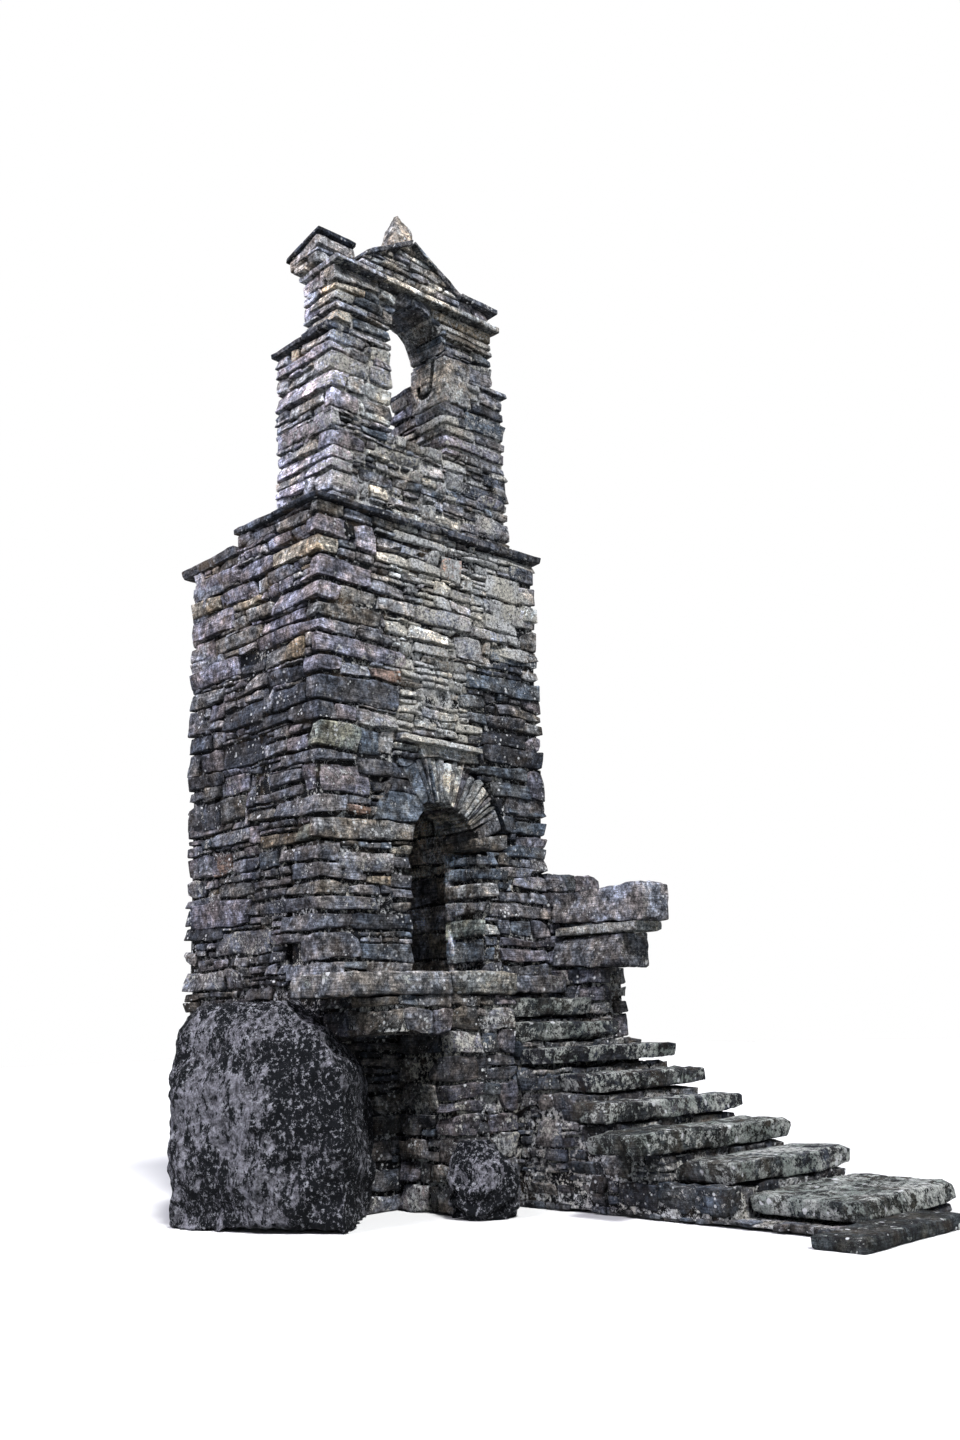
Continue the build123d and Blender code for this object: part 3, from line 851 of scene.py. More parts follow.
def rock_material(name):
    """Natural rock: grey and mauve under black crusts that run down it, speckled with pale ones."""
    look = Shader(bpy.data.materials.new(name))
    tone, _ = look.attribute("tone")
    _, lightness_and_painted_light = look.attribute("growth")
    drawn = look.stretch((1.0, 1.0, 0.55))
    middle = look.noise(11, 9, 0.75)
    grit = look.noise(34, 6, 0.75)
    value = look.between(middle, 0.38, 0.62, 0.45, 1.6)
    value = look.times(value, look.between(grit, 0.4, 0.6, 0.5, 1.5))
    colour = look.shaded(tone, value)
    black = look.plus(look.times(look.noise(7, 6, 0.7, drawn), 0.5), look.noise(15, 9, 0.8, drawn))
    edge = look.between(look.noise(1.6, 4), 0.40, 0.60, 0.715, 0.60)
    # The lightness of the points, with its painted light and shade, thins the black crusts
    edge = look.plus(edge, look.times(lightness_and_painted_light, 0.13))
    colour = look.mix(look.between(black, edge, look.plus(edge, 0.015)), colour, BLACK_CRUST)
    flecks = look.between(look.noise(23, 8, 0.82), 0.558, 0.58)
    colour = look.mix(flecks, colour, ROCK_FLECKS)
    normal = look.bump(middle, 1.0, 0.06)
    normal = look.bump(grit, 1.0, 0.02, normal)
    return look.stone_surface(colour, 0.9, normal)


def hill(value, middle, width):
    """Is 1 at the middle and falls off smoothly on both sides."""
    return np.exp(-(((value - middle) / width) ** 2))


def rise(value, none, full):
    """Goes smoothly from 0 at the place called none to 1 at full, which may be the lower one."""
    share = np.clip((value - none) / (full - none), 0, 1)
    return share * share * (3 - 2 * share)


# The crusted part of the front: where it begins above the arch and at the left, its right edge,
# and where and by how much it grows wider
CRUST_FOOT, CRUST_LEFT, CRUST_RIGHT = (4.15, 4.5), (-0.75, -0.35), 0.45
CRUST_WIDENS, CRUST_WIDER = (5.1, 5.45), 0.9
SOFT = 0.15


def crusted(x, z):
    """How heavily pale lichen covers the front over the door, from 0 to 1."""
    right = CRUST_RIGHT + CRUST_WIDER * rise(z, *CRUST_WIDENS)
    across = rise(x, *CRUST_LEFT) * (1 - rise(x, right - SOFT, right + SOFT))
    return across * rise(z, *CRUST_FOOT)


def growth_and_painted_light_at(points):
    """Shares of pale lichen, black stain and ochre, and the lightness, which also holds painted light and
    shade, at points of the tower.
    """
    x, y, z = points.T
    bell = rise(z, STRING_TOP - 0.1, STRING_TOP + 0.1)
    front = rise(y, SHAFT_FRONT + 0.25, SHAFT_FRONT + 0.08)
    shaft_front = front * (1 - bell)
    left = rise(x, SHAFT_LEFT + 0.2, SHAFT_LEFT + 0.05)
    patchy = 0.5 + 0.5 * np.sin(2.9 * x + 3.1 * z) * np.sin(1.7 * z - 3.7 * x + 1.0)

    # Lichen: heavy over the door, some on the bell stage and low down, little on the left side
    pale = 0.34 + shaft_front * crusted(x, z) * (0.42 + 0.2 * patchy)
    pale += bell * rise(y, -0.6, -0.95) * 0.26 * hill(z, 7.9, 1.5)
    pale += 0.12 * rise(z, 2.7, 1.7) * rise(y, -1.1, -1.4) - 0.16 * left * rise(z, 3.4, 4.4)

    # Black stain: on the left side, right of the arch and near the ground
    stain = 0.38 + 0.3 * left * hill(z, 4.2, 1.1) * rise(y, -0.9, 0.9)
    stain += shaft_front * 0.5 * hill(x, 1.3, 0.6) * hill(z, 4.5, 0.9)
    stain += 0.2 * rise(z, 4.2, 2.6) - 0.2 * front * rise(pale, 0.4, 0.8)
    ochre = 0.14 + 0.5 * hill(z, 6.0, 0.7) * rise(x, -0.5, -1.2) - 0.1 * bell

    # Lightness: growing upwards, less on the lower left side and the right of the bell stage
    light = 0.50 + 0.34 * rise(z, 4.6, 6.3) + 0.85 * bell * rise(x, -1.0, -1.2)
    light -= 0.25 * left * (1 - rise(z, 4.4, 5.0)) + 0.35 * bell * rise(x, 0.3, 0.6)
    # Painted light on the gable above the cornice, and painted shade along the cornice's foot
    light += 0.5 * rise(z, CORNICE - 0.01, CORNICE + 0.03) - 0.4 * hill(z, CORNICE, 0.02)
    # The crusted face over the door, painted light over the voussoirs where the relieving slab's shadow
    # falls, darker right of the arch and lighter towards the near corner
    light += 0.38 * shaft_front * crusted(x, z)
    light += 0.38 * front * hill(x, DOOR_CENTRE + 0.1, 0.5) * hill(z, SPRINGING + EXTRADOS - 0.1, 0.22)
    light -= 0.28 * front * hill(x, 1.2, 0.6) * hill(z, 4.3, 1.0)
    light += 0.12 * shaft_front * rise(x, -0.5, -0.8)
    # Painted light inside the chamber; darker towards the ground, over the steps and terrace; the natural
    # rock and the rest below the foot of the walls darker, but lighter far to the left
    room = (z > WALL_FOOT) * (z < WALL_TOP) * (x > SIDE_LEFT - 0.01) * (x < SIDE_RIGHT + 0.01)
    light += 1.2 * room * rise(y, SHAFT_FRONT + 0.15, SHAFT_FRONT + 0.4)
    light -= 0.26 * rise(z, 2.0, 1.7)
    light += rise(z, WALL_FOOT, WALL_FOOT - 0.1) * (0.75 * rise(x, -1.9, -2.35) - 0.2)
    return np.clip(np.stack([pale, stain, ochre, light], 1), 0, 2)


# Styles of the rubble
def front_split(x, z):
    """Thin slates over the door, larger blocks towards the corners and lower down."""
    return 0.42 + 0.55 * crusted(x, z) * (1 - 0.4 * rise(x, 0.4, 0.9))


def front_palette(x, z):
    """Crusted stones over the door, dark ones right of the arch, grey ones elsewhere."""
    over_arch = abs(x - DOOR_CENTRE) < 0.4 and 4.1 < z < 4.28
    if crusted(x, z) > 0.4 or over_arch:
        return (GREY, CREAM, BROWN, CREAM)
    if x > 0.4 and 3.3 < z < 5.4:
        return (DARK, BLUE, DARK)
    return (GREY, BROWN, GREY, BLUE, DARK)


def left_palette(y, z):
    """Mauve and ochre stones high up on the left side, grey ones below."""
    return (MAUVE, GREY, MAUVE, BROWN, OCHRE) if z > 5.2 else (GREY, MAUVE, GREY, BROWN, DARK)


# ratio: how long stones are for their height; split: how often a course is split in two;
# proud: how far faces stand out; missing: share of stones that are missing
FRONT = {
    "ratio": (2.0, 5.0), "split": front_split, "palette": front_palette,
    "quoins": (GREY, BROWN, MAUVE), "missing": 0.01,
}
LEFT = {
    "ratio": (1.4, 3.6), "split": 0.35, "palette": left_palette,
    "quoins": (GREY, MAUVE, BROWN), "missing": 0.012,
}
PLAIN = {
    "ratio": (1.5, 4.0), "split": 0.4, "palette": WALL_PALETTE, "missing": 0.012,
    "proud": (-0.028, 0.004),
}
LINING = {
    "ratio": (1.8, 4.0), "split": 0.0, "palette": (CREAM, GREY, BROWN), "rough": 0.8,
    "step": COARSE, "missing": 0.0,
}

# Stones of the near corner: low, high, reach along the front and along the left side, tone
CORNER = (
    (2.00, 2.17, 0.30, 0.50, GREY), (2.18, 2.44, 0.50, 0.28, GREY), (2.45, 2.62, 0.38, 0.60, GREY),
    (2.63, 2.77, 0.68, 0.14, GREY), (2.78, 2.89, 0.35, 0.50, BROWN), (2.90, 3.07, 0.52, 0.47, GREY),
    (3.08, 3.26, 0.26, 0.62, GREY), (3.27, 3.49, 0.74, 0.14, BROWN), (3.50, 3.67, 0.35, 0.70, GREY),
    (3.68, 3.98, 0.63, 0.25, MAUVE), (3.99, 4.11, 0.25, 0.60, GREY), (4.12, 4.37, 0.51, 0.14, GREEN),
    (4.38, 4.56, 0.22, 0.50, DARK), (4.57, 4.82, 1.00, 0.22, DARK), (4.83, 5.00, 0.30, 0.25, MAUVE),
    (5.01, 5.21, 1.09, 0.12, MAUVE), (5.22, 5.35, 0.20, 0.70, MAUVE), (5.36, 5.52, 0.78, 0.19, BROWN),
    (5.53, 5.71, 0.29, 0.74, MAUVE), (5.73, 5.98, 0.66, 0.14, MAUVE), (6.00, 6.18, 0.26, 0.74, OCHRE),
    (6.19, 6.40, 0.48, 0.21, MAUVE), (6.41, 6.53, 0.33, 0.14, BROWN),
)

# Other stones that stand out: start, end, low, high, tone
FRONT_STONES = (
    # beside the door, on the left
    (-0.99, -0.75, 4.11, 4.35, BLUE), (-1.24, -1.04, 4.00, 4.10, GREY), (-1.02, -0.52, 3.89, 4.10, DARK),
    (-0.86, -0.70, 3.74, 3.88, DARK), (-1.14, -0.86, 3.50, 3.60, RUST), (-1.23, -0.60, 3.00, 3.21, GREY),
    (-0.59, DOOR_LEFT, 3.17, 3.26, CREAM), (-0.59, DOOR_LEFT, 3.01, 3.16, DARK),
    (-0.93, -0.63, 2.88, 2.98, OCHRE), (-0.62, DOOR_LEFT, 2.87, 3.0, DARK),
    (-0.62, DOOR_LEFT, 2.72, 2.86, GREY), (-1.12, -0.75, 2.78, 2.88, GREY),
    (-0.58, -0.27, 4.18, 4.26, CREAM),
    # beside the door, on the right
    (1.05, SHAFT_RIGHT, 3.49, 3.64, BLUE), (0.96, SHAFT_RIGHT, 3.24, 3.42, BLUE),
    (DOOR_RIGHT, 0.79, 3.13, SPRINGING, BLUE), (DOOR_RIGHT, 0.93, 2.98, 3.12, BLUE),
    (DOOR_RIGHT, 0.78, 2.81, 2.96, BROWN), (DOOR_RIGHT, 0.66, 2.64, 2.79, GREY),
    (DOOR_RIGHT, 0.56, 2.41, 2.62, GREEN), (0.58, 0.75, 2.44, 2.58, CREAM),
    (0.74, 1.32, 3.87, 4.03, BLUE), (1.27, SHAFT_RIGHT, 3.87, 4.19, MAUVE),
    (0.54, 1.26, 4.06, 4.19, BLUE), (0.62, SHAFT_RIGHT, 4.20, 4.40, DARK),
    (0.95, SHAFT_RIGHT, 3.69, 3.83, BLUE), (0.80, 1.26, 3.03, 3.14, GREY),
    # over the relieving slab
    (-1.28, -1.01, 4.38, 4.56, MAUVE), (-1.00, -0.53, 4.37, 4.54, GREY),
    (-0.31, -0.02, 4.45, 4.56, CREAM), (0.07, 0.26, 4.40, 4.49, CREAM), (-0.20, 0.30, 4.72, 4.87, BROWN),
    (-0.49, -0.27, 4.73, 4.81, CREAM), (0.16, 0.36, 4.88, 4.99, CREAM), (-1.20, -0.86, 4.83, 4.98, GREY),
    (-0.85, -0.47, 4.83, 4.96, RUST), (0.69, 1.26, 4.57, 4.72, GREY), (0.42, 0.68, 4.59, 4.72, BLUE),
    (0.32, 0.66, 4.74, 4.89, BLUE), (0.84, 1.20, 4.74, 4.88, GREY), (0.42, SHAFT_RIGHT, 4.96, 5.15, BLUE),
    (-0.47, -0.30, 5.15, 5.30, CREAM),
    # up to the string course
    (0.26, 0.66, 5.25, 5.51, GREY), (-0.66, -0.37, 5.33, 5.49, CREAM), (-0.36, 0.17, 5.34, 5.49, CREAM),
    (0.78, SHAFT_RIGHT, 5.31, 5.48, BLUE), (1.23, SHAFT_RIGHT, 5.17, 5.29, BROWN),
    (-1.00, -0.57, 5.22, 5.31, GREY), (0.50, 1.03, 5.52, 5.64, GREY), (0.70, 1.23, 5.65, 5.83, OCHRE),
    (-1.20, -0.76, 5.54, 5.72, BROWN), (1.28, SHAFT_RIGHT, 5.83, 6.02, CREAM),
    (0.0, 0.23, 5.87, 6.02, CREAM), (0.24, 0.52, 5.87, 5.99, GREY), (-0.34, 0.10, 6.06, 6.19, CREAM),
    (0.12, 0.38, 6.05, 6.33, RUST), (0.76, 1.25, 6.02, 6.29, BROWN),
    (1.26, SHAFT_RIGHT, 6.05, 6.26, GREY), (1.11, 1.47, 6.28, 6.43, DARK),
    (-0.75, -0.05, 6.21, 6.33, GREY), (-0.53, 0.20, 6.35, 6.46, CREAM), (-1.01, -0.77, 6.12, 6.40, MAUVE),
    (-1.23, -1.02, 6.01, 6.10, GREY), (-1.16, -0.80, 6.42, 6.52, GREY),
)
LEFT_STONES = (
    (-0.35, 0.57, 2.28, 2.52, GREY), (0.01, 1.00, 2.56, 2.84, MAUVE), (-0.97, -0.16, 2.63, 2.77, GREY),
    (-0.60, -0.06, 2.79, 2.89, GREY), (-0.05, 0.55, 2.86, 3.00, BROWN), (0.56, 0.74, 2.85, 2.97, OCHRE),
    (0.30, 0.63, 3.07, 3.32, RUST), (0.64, 1.00, 3.07, 3.32, GREY), (-0.48, -0.16, 3.08, 3.24, BLUE),
    (-0.96, -0.75, 3.27, 3.42, GREEN), (-0.74, -0.16, 3.26, 3.38, OCHRE), (0.0, 0.65, 3.36, 3.50, GREY),
    (0.66, 0.88, 3.36, 3.49, BLUE), (-0.40, 0.04, 3.52, 3.65, BROWN), (0.09, 0.50, 3.58, 3.83, BROWN),
    (0.51, 1.10, 3.53, 3.83, DARK), (-0.84, -0.06, 3.68, 3.79, GREY), (-0.83, -0.30, 3.82, 3.96, GREY),
    (0.02, 0.44, 3.85, 4.04, MAUVE), (-0.96, -0.62, 4.12, 4.30, MAUVE), (-0.61, -0.25, 4.12, 4.27, GREY),
    (-0.60, 0.04, 4.42, 4.55, DARK), (-0.22, 0.47, 4.51, 4.72, DARK), (0.74, 1.00, 4.56, 4.72, GREY),
    (-0.88, -0.39, 4.57, 4.76, DARK), (-0.85, -0.27, 4.81, 4.97, DARK), (-0.88, -0.57, 5.01, 5.19, OCHRE),
    (0.23, 1.10, 5.05, 5.28, MAUVE), (-0.40, -0.08, 5.22, 5.35, MAUVE), (-0.89, -0.19, 5.37, 5.50, MAUVE),
    (-0.18, 0.46, 5.35, 5.49, BROWN), (0.68, 1.02, 5.30, 5.56, MAUVE), (-0.36, 0.07, 5.54, 5.71, BROWN),
    (0.32, 1.10, 5.58, 5.81, MAUVE), (-0.18, 0.23, 5.73, 5.82, OCHRE), (-0.25, -0.09, 5.83, 5.98, QUARTZ),
    (-0.07, 0.60, 5.83, 5.99, MAUVE), (0.61, 1.10, 5.84, 6.01, OCHRE), (-0.36, 0.20, 6.01, 6.20, MAUVE),
    (0.25, 1.10, 6.04, 6.24, MAUVE), (-0.68, -0.25, 6.21, 6.34, MAUVE), (-0.96, -0.42, 6.36, 6.48, BROWN),
    (-0.40, 0.13, 6.38, 6.49, GREY), (-0.15, 0.15, 6.24, 6.34, MAUVE),
)

DOOR_HEAD = round_opening(DOOR_CENTRE, SPRINGING, EXTRADOS - 0.03)
BELL_HEAD = round_opening(OPEN_CENTRE, OPEN_SPRINGING, OPEN_RADIUS)

masonry = stone_material("rubble")
slate = stone_material("slate", foliation=60.0)
treads_look = stone_material("steps", lichen_scale=0.5, crusts=STEP_CRUSTS)
rock_look = rock_material("rock")

# Shaft, from the ground to the string course
SHAFT_NODES = {
    "footing": ("footing",),
    "front": ("front_wall_left", "front_wall_right", "arch_surround", "front_wall_upper"),
    "left": ("left_wall",),
    "right": ("right_wall",),
    "back": ("back_wall",),
    "roof": ("roof_front", "roof_back"),
    "lining": (),
}
FOOTING_DEPTH, WALL_DEPTH = 0.2, 0.17
FOOTING_COURSE, ROOM_COURSE = (0.16, 0.3), (0.2, 0.32)
groups = {name: Stones(name + "_stones", number) for number, name in enumerate(SHAFT_NODES)}
bed_rng = np.random.default_rng(SEED)  # for the beds of the footing and of the chamber


def shaft_group(side, level):
    """The group that a stone of the shaft belongs to."""
    if level < WALL_FOOT:
        return groups["footing"]
    return groups["roof"] if level > WALL_TOP else groups[side]


def shaft_style(side, level):
    if side == "front" and SPRINGING < level < SPRINGING + EXTRADOS:
        return {**FRONT, **DOOR_HEAD, "through": FRONT_INNER - 0.2}
    return {"front": FRONT, "left": LEFT}.get(side, PLAIN)


def lay_shaft():
    """Lays the outer faces: the footing, then the walls with the stones that stand out set first."""
    foot_levels = courses(bed_rng, 0.0, WALL_FOOT, *FOOTING_COURSE)
    lay_mass(shaft_group, SHAFT, foot_levels, FOOTING_DEPTH, shaft_style, seed=2)
    fixed = [WALL_FOOT, SPRINGING, CAP_BOTTOM, STRING_BOTTOM]
    beds = sorted(fixed + [row[0] for row in CORNER if min(abs(row[0] - bed) for bed in fixed) > 0.05])
    laid = corner_parts(SHAFT, CORNER)
    set_corner(shaft_group, SHAFT, beds, CORNER)
    for side, rows, style in (("front", FRONT_STONES, DOOR_HEAD), ("left", LEFT_STONES, {})):
        laid[side] += [row[:4] for row in rows]
        for row in rows:
            group = shaft_group(side, (row[2] + row[3]) / 2)
            set_stone(group, side, SHAFT, beds, row, WALL_DEPTH, style)
    door = {"low": FLOOR, "high": SPRINGING, "left": DOOR_LEFT, "right": DOOR_RIGHT, "through": FRONT_INNER}
    cap = beds.index(CAP_BOTTOM)
    below, above = beds[: cap + 1], beds[cap:]
    lay_mass(shaft_group, SHAFT, below, WALL_DEPTH, shaft_style, gap=door, seed=3, laid=laid)
    front_part = (SHAFT_LEFT, SHAFT_RIGHT, SHAFT_FRONT, STEP_Y)
    lay_mass(shaft_group, front_part, above, WALL_DEPTH, shaft_style, seed=5, laid=laid)


def lay_lining():
    """Lays the inner faces of the chamber."""
    lining, depth = groups["lining"], 0.1
    over_door = {**LINING, **round_opening(DOOR_CENTRE, SPRINGING, EXTRADOS), "through": FRONT_INNER - 0.1}
    levels = courses(bed_rng, FLOOR, SPRINGING, *ROOM_COURSE)
    levels += courses(bed_rng, SPRINGING, WALL_TOP, *ROOM_COURSE)[1:]
    for low, high in pairwise(levels):
        course = (low, high)
        for plane, outward, axis in ((BACK_INNER, -1, 0), (SIDE_LEFT, 1, 1), (SIDE_RIGHT, -1, 1)):
            ends = (FRONT_INNER, BACK_INNER) if axis else (SIDE_LEFT, SIDE_RIGHT)
            fill(lining, (axis, plane, outward), (*ends, *course), course, depth, LINING)
        stretches, style = [(SIDE_LEFT, SIDE_RIGHT)], over_door
        if high < SPRINGING + 0.01:
            stretches, style = [(SIDE_LEFT, DOOR_LEFT), (DOOR_RIGHT, SIDE_RIGHT)], LINING
        for stretch in stretches:
            fill(lining, (0, FRONT_INNER, 1), (*stretch, *course), course, depth, style)


lay_shaft()
lay_lining()
for name, nodes in SHAFT_NODES.items():
    add_core(groups[name], *nodes)
    if name == "footing":
        add_bed(groups[name], SHAFT, WALL_FOOT)
    groups[name].build(masonry, "rubble_masonry", *nodes)

# Door arch: thin slates set on edge between two springers and the long block of the left haunch
arch = Stones("arch_stones", 20)
MIDDLE_RADIUS = (EXTRADOS + DOOR_RADIUS) / 2
HAUNCH_TURN = 0.98 * math.pi

# Its slates: which voussoirs are thin, how many of those are split, joints, and uneven ends
THIN_SLATE, SPLIT_SLATES = 0.09, 0.35
SLATE_JOINT = 0.004
SLATE_NEAR, SLATE_FAR, BLOCK_FAR = (0, 0.05), (-0.07, 0.04), -0.005

# Level stones of the left haunch: start, end, low, high, tone
HAUNCH_STONES = (
    (-0.86, -0.30, SPRINGING, 3.50, BROWN), (-0.86, -0.20, 3.49, 3.79, BLUE),
    (-0.80, -0.25, 3.78, 3.91, DARK), (-0.72, -0.35, 3.90, 4.06, DARK),
)


def on_ring(reach, turn, y):
    """Points at a reach and a turn, in radians, about the centre of the arch."""
    return np.stack([DOOR_CENTRE + reach * np.cos(turn), y, SPRINGING + reach * np.sin(turn)], 1)


def round_head(points):
    """Bends stones that lie along the ring of the arch: x is the way round, z the reach."""
    return on_ring(points[:, UP], points[:, 0] / MIDDLE_RADIUS, points[:, 1])


def lay_haunch(first):
    """Lays the stones of the haunch inside the ring of the arch, beyond the turn called first."""

    def inside_ring(points):
        dx, dz = points[:, 0] - DOOR_CENTRE, points[:, UP] - SPRINGING
        reach = np.clip(np.hypot(dx, dz), DOOR_RADIUS, EXTRADOS)
        turn = np.clip(np.arctan2(np.maximum(dz, 0), dx), first + 0.01, math.pi)
        return on_ring(reach, turn, points[:, 1])

    for start, end, low, high, tone in HAUNCH_STONES:
        near = SHAFT_FRONT + arch.rng.uniform(0, 0.03)
        shade = with_lichen(arch.rng, np.array(tone))
        lower, upper = [start, near, low + 0.002], [end, FRONT_INNER, high - 0.003]
        stone(arch, lower, upper, shade, inside_ring, rough=0.8, step=(0.06, 0.2, 0.06))


def voussoir_palette(turn, haunch):
    """Crusted and rusty slates over the crown, bare ones at the feet; turn in degrees."""
    if 65 < turn < 100:
        return (CREAM, RUST, OCHRE, DARK, CREAM)
    if turn < 25:
        return (BROWN, GREY)
    return (BLUE, GREY) if haunch else (CREAM, GREY, BROWN, CREAM)


def lay_voussoir(first, last):
    """Lays a voussoir between two places round the ring; a thin one may be two slates."""
    thin = last - first < THIN_SLATE
    cuts = [first, last]
    if thin and arch.rng.uniform() < SPLIT_SLATES:
        cuts.insert(1, first + (last - first) * arch.rng.uniform(0.4, 0.6))
    for start, end in pairwise(cuts):
        turn = math.degrees((start + end) / 2 / MIDDLE_RADIUS)
        tone = pick_tone(arch.rng, voussoir_palette(turn, first > MIDDLE_RADIUS * math.pi / 2))
        near = SHAFT_FRONT + arch.rng.uniform(*SLATE_NEAR)
        outer = EXTRADOS + (arch.rng.uniform(*SLATE_FAR) if thin else BLOCK_FAR)
        lower = [start + SLATE_JOINT, near, DOOR_RADIUS]
        upper = [end - SLATE_JOINT, FRONT_INNER, outer]
        stone(arch, lower, upper, tone, round_head, 0.45 if thin else 0.8, (0.08, 0.2, 0.07))


for _, _, points in solids_of("door_arch"):
    turns = np.arctan2(points[:, UP] - SPRINGING, points[:, 0] - DOOR_CENTRE) * MIDDLE_RADIUS
    first, last = turns.min(), turns.max()
    if last > MIDDLE_RADIUS * HAUNCH_TURN:
        lay_haunch(first / MIDDLE_RADIUS)
    else:
        lay_voussoir(first, last)
arch.build(slate, "voussoir_slate", "door_arch")

# Slabs that lie across the shaft: each tilts or wanders a little
RELIEVING_FALL = 0.03
RELIEVING_SHORTER = 0.06
CAP_FALL = 0.026
STRING_WANDER = 0.008

relieving = Stones("relieving_stone", 21)
low, high = span("relieving_slab")
stone(
    relieving,
    low + [0, 0.04, 0.012],
    high - [RELIEVING_SHORTER, 0, 0.012],
    np.array([*CREAM, 0.8]),
    lambda points: points - [0, 0, RELIEVING_FALL] * (points[:, :1] - DOOR_CENTRE),
    rough=0.6,
    step=(0.07, 0.09, 0.04),
    edge=0.012,
    chips=8,
)
relieving.build(slate, "slate_slab", "relieving_slab")

# The string course is dark slate, painted darker still for the shade under its edge
for name, seed, counts, palette in (
    ("string_course", 43, (4, 2), SHADED_DARK_PALETTE),
    ("cornice_slab", 42, (3, 1), (GREY, BROWN, CREAM)),
):
    slabs = Stones(name + "_stones", seed)
    low, high = span(name)
    bend = follow_beds([low[UP], high[UP]], STRING_WANDER)
    tile_slabs(slabs, low, high, counts, bend, ragged=0.012, palette=palette)
    slabs.build(slate, "slate_slab", name)

cap = Stones("rear_cap_stones", 34)
low, high = span("rear_cap")
tile_slabs(cap, low, high, (3, 1), lambda points: points - [0, 0, CAP_FALL] * (points[:, 1:2] - low[1]))
cap.build(slate, "slate_slab", "rear_cap")

# Bell stage
BELL_FRONT = {
    **FRONT, "split": 0.45, "ratio": (1.8, 4.2), "palette": (GREY, BLUE, BROWN, GREY),
}
BELL_SIDE = {**LEFT, "split": 0.25, "palette": (MAUVE, GREY, MAUVE, BROWN)}
BELL_DEPTH = 0.15
BELL_COURSE = (0.1, 0.17)
LEAST_COURSE, LEAST_REST = 0.05, 0.2
BAND_LIFT = 0.07
POCKET = span("groove_stone")
POCKET_REACH = 0.12

# Stones of the near corner: low, high, reach along the front and along the left side, tone
BELL_CORNER = (
    (6.60, 6.71, 0.25, 0.45, GREY), (6.72, 6.96, 0.35, 0.30, GREY), (6.97, 7.07, 0.28, 0.45, MAUVE),
    (7.08, 7.20, 0.30, 0.92, MAUVE), (7.21, 7.36, 0.45, 0.23, MAUVE), (7.37, 7.42, 0.30, 0.40, GREY),
    (7.43, 7.60, 0.12, 0.93, MAUVE), (7.61, 7.83, 0.37, 0.12, MAUVE), (7.84, 8.02, 0.22, 0.93, MAUVE),
    (8.03, 8.20, 0.50, 0.30, GREY), (8.21, 8.33, 0.18, 0.92, MAUVE), (8.34, 8.47, 0.45, 0.25, GREY),
)
UPPER_CORNER = (
    (8.56, 8.70, 0.22, 0.50, OCHRE), (8.71, 8.80, 0.42, 0.28, GREY), (8.81, 8.93, 0.25, 0.45, BROWN),
    (8.94, 9.03, 0.40, 0.25, OCHRE), (9.04, 9.22, 0.60, 0.20, BROWN),
)
JAMB_CORNER = (
    (7.55, 7.63, 0.20, 0.25, MAUVE), (7.64, 7.78, 0.90, 0.25, MAUVE), (7.79, 7.91, 0.43, 0.35, BROWN),
    (7.92, 8.03, 0.20, 0.50, BROWN), (8.04, 8.16, 0.30, 0.45, GREY),
)

# Other stones that stand out: start, end, low, high, tone
BELL_FRONT_STONES = (
    # base
    (-0.94, -0.55, 6.62, 6.71, GREY), (-0.45, -0.05, 6.62, 6.74, CREAM), (0.14, 0.47, 6.70, 6.84, CREAM),
    (0.50, 1.00, 6.72, 6.84, GREY), (-0.76, -0.52, 6.76, 6.91, CREAM), (-0.50, -0.10, 6.76, 6.89, GREY),
    (0.26, 0.55, 6.87, 7.01, GREY), (0.56, 0.95, 6.86, 6.97, DARK), (-0.88, -0.45, 6.94, 7.06, GREY),
    (-0.05, 0.16, 7.09, 7.20, CREAM), (0.45, 0.85, 7.02, 7.13, GREY), (0.30, 0.52, 7.17, 7.34, GREY),
    (0.54, 1.19, 7.16, 7.30, DARK), (-0.80, -0.50, 7.19, 7.27, CREAM), (0.25, 0.60, 7.36, 7.49, GREY),
    (0.85, 1.20, 7.34, 7.48, DARK),
    # left pier
    (-0.86, OPEN_LEFT, 7.62, 7.81, CREAM), (-0.80, OPEN_LEFT, 7.85, 8.02, CREAM),
    (-0.74, OPEN_LEFT, 8.04, 8.22, GREY), (-0.72, OPEN_LEFT, 8.26, 8.46, CREAM),
    (-0.94, OPEN_LEFT, 8.57, 8.70, BLUE), (-0.58, -0.34, 9.02, 9.17, CREAM),
    # right pier
    (0.50, 0.67, 7.54, 7.63, GREY), (0.80, 1.20, 7.54, 7.63, GREY), (0.76, 1.20, 7.80, 7.91, GREY),
    (0.60, 1.20, 7.93, 8.14, BLUE), (0.70, 1.18, 8.16, 8.28, DARK), (0.43, 0.58, 8.18, 8.47, CREAM),
    (0.60, 0.82, 8.29, 8.40, CREAM), (0.83, 1.18, 8.30, 8.47, GREY), (0.43, 1.03, 8.52, 8.72, GREY),
    (0.35, 0.74, 8.77, 8.87, GREY), (0.76, 1.03, 8.79, 8.90, BLUE), (0.34, 1.03, 8.91, 8.99, BROWN),
    (0.28, 1.03, 9.00, 9.09, BROWN), (0.14, 1.03, 9.10, 9.21, OCHRE),
)
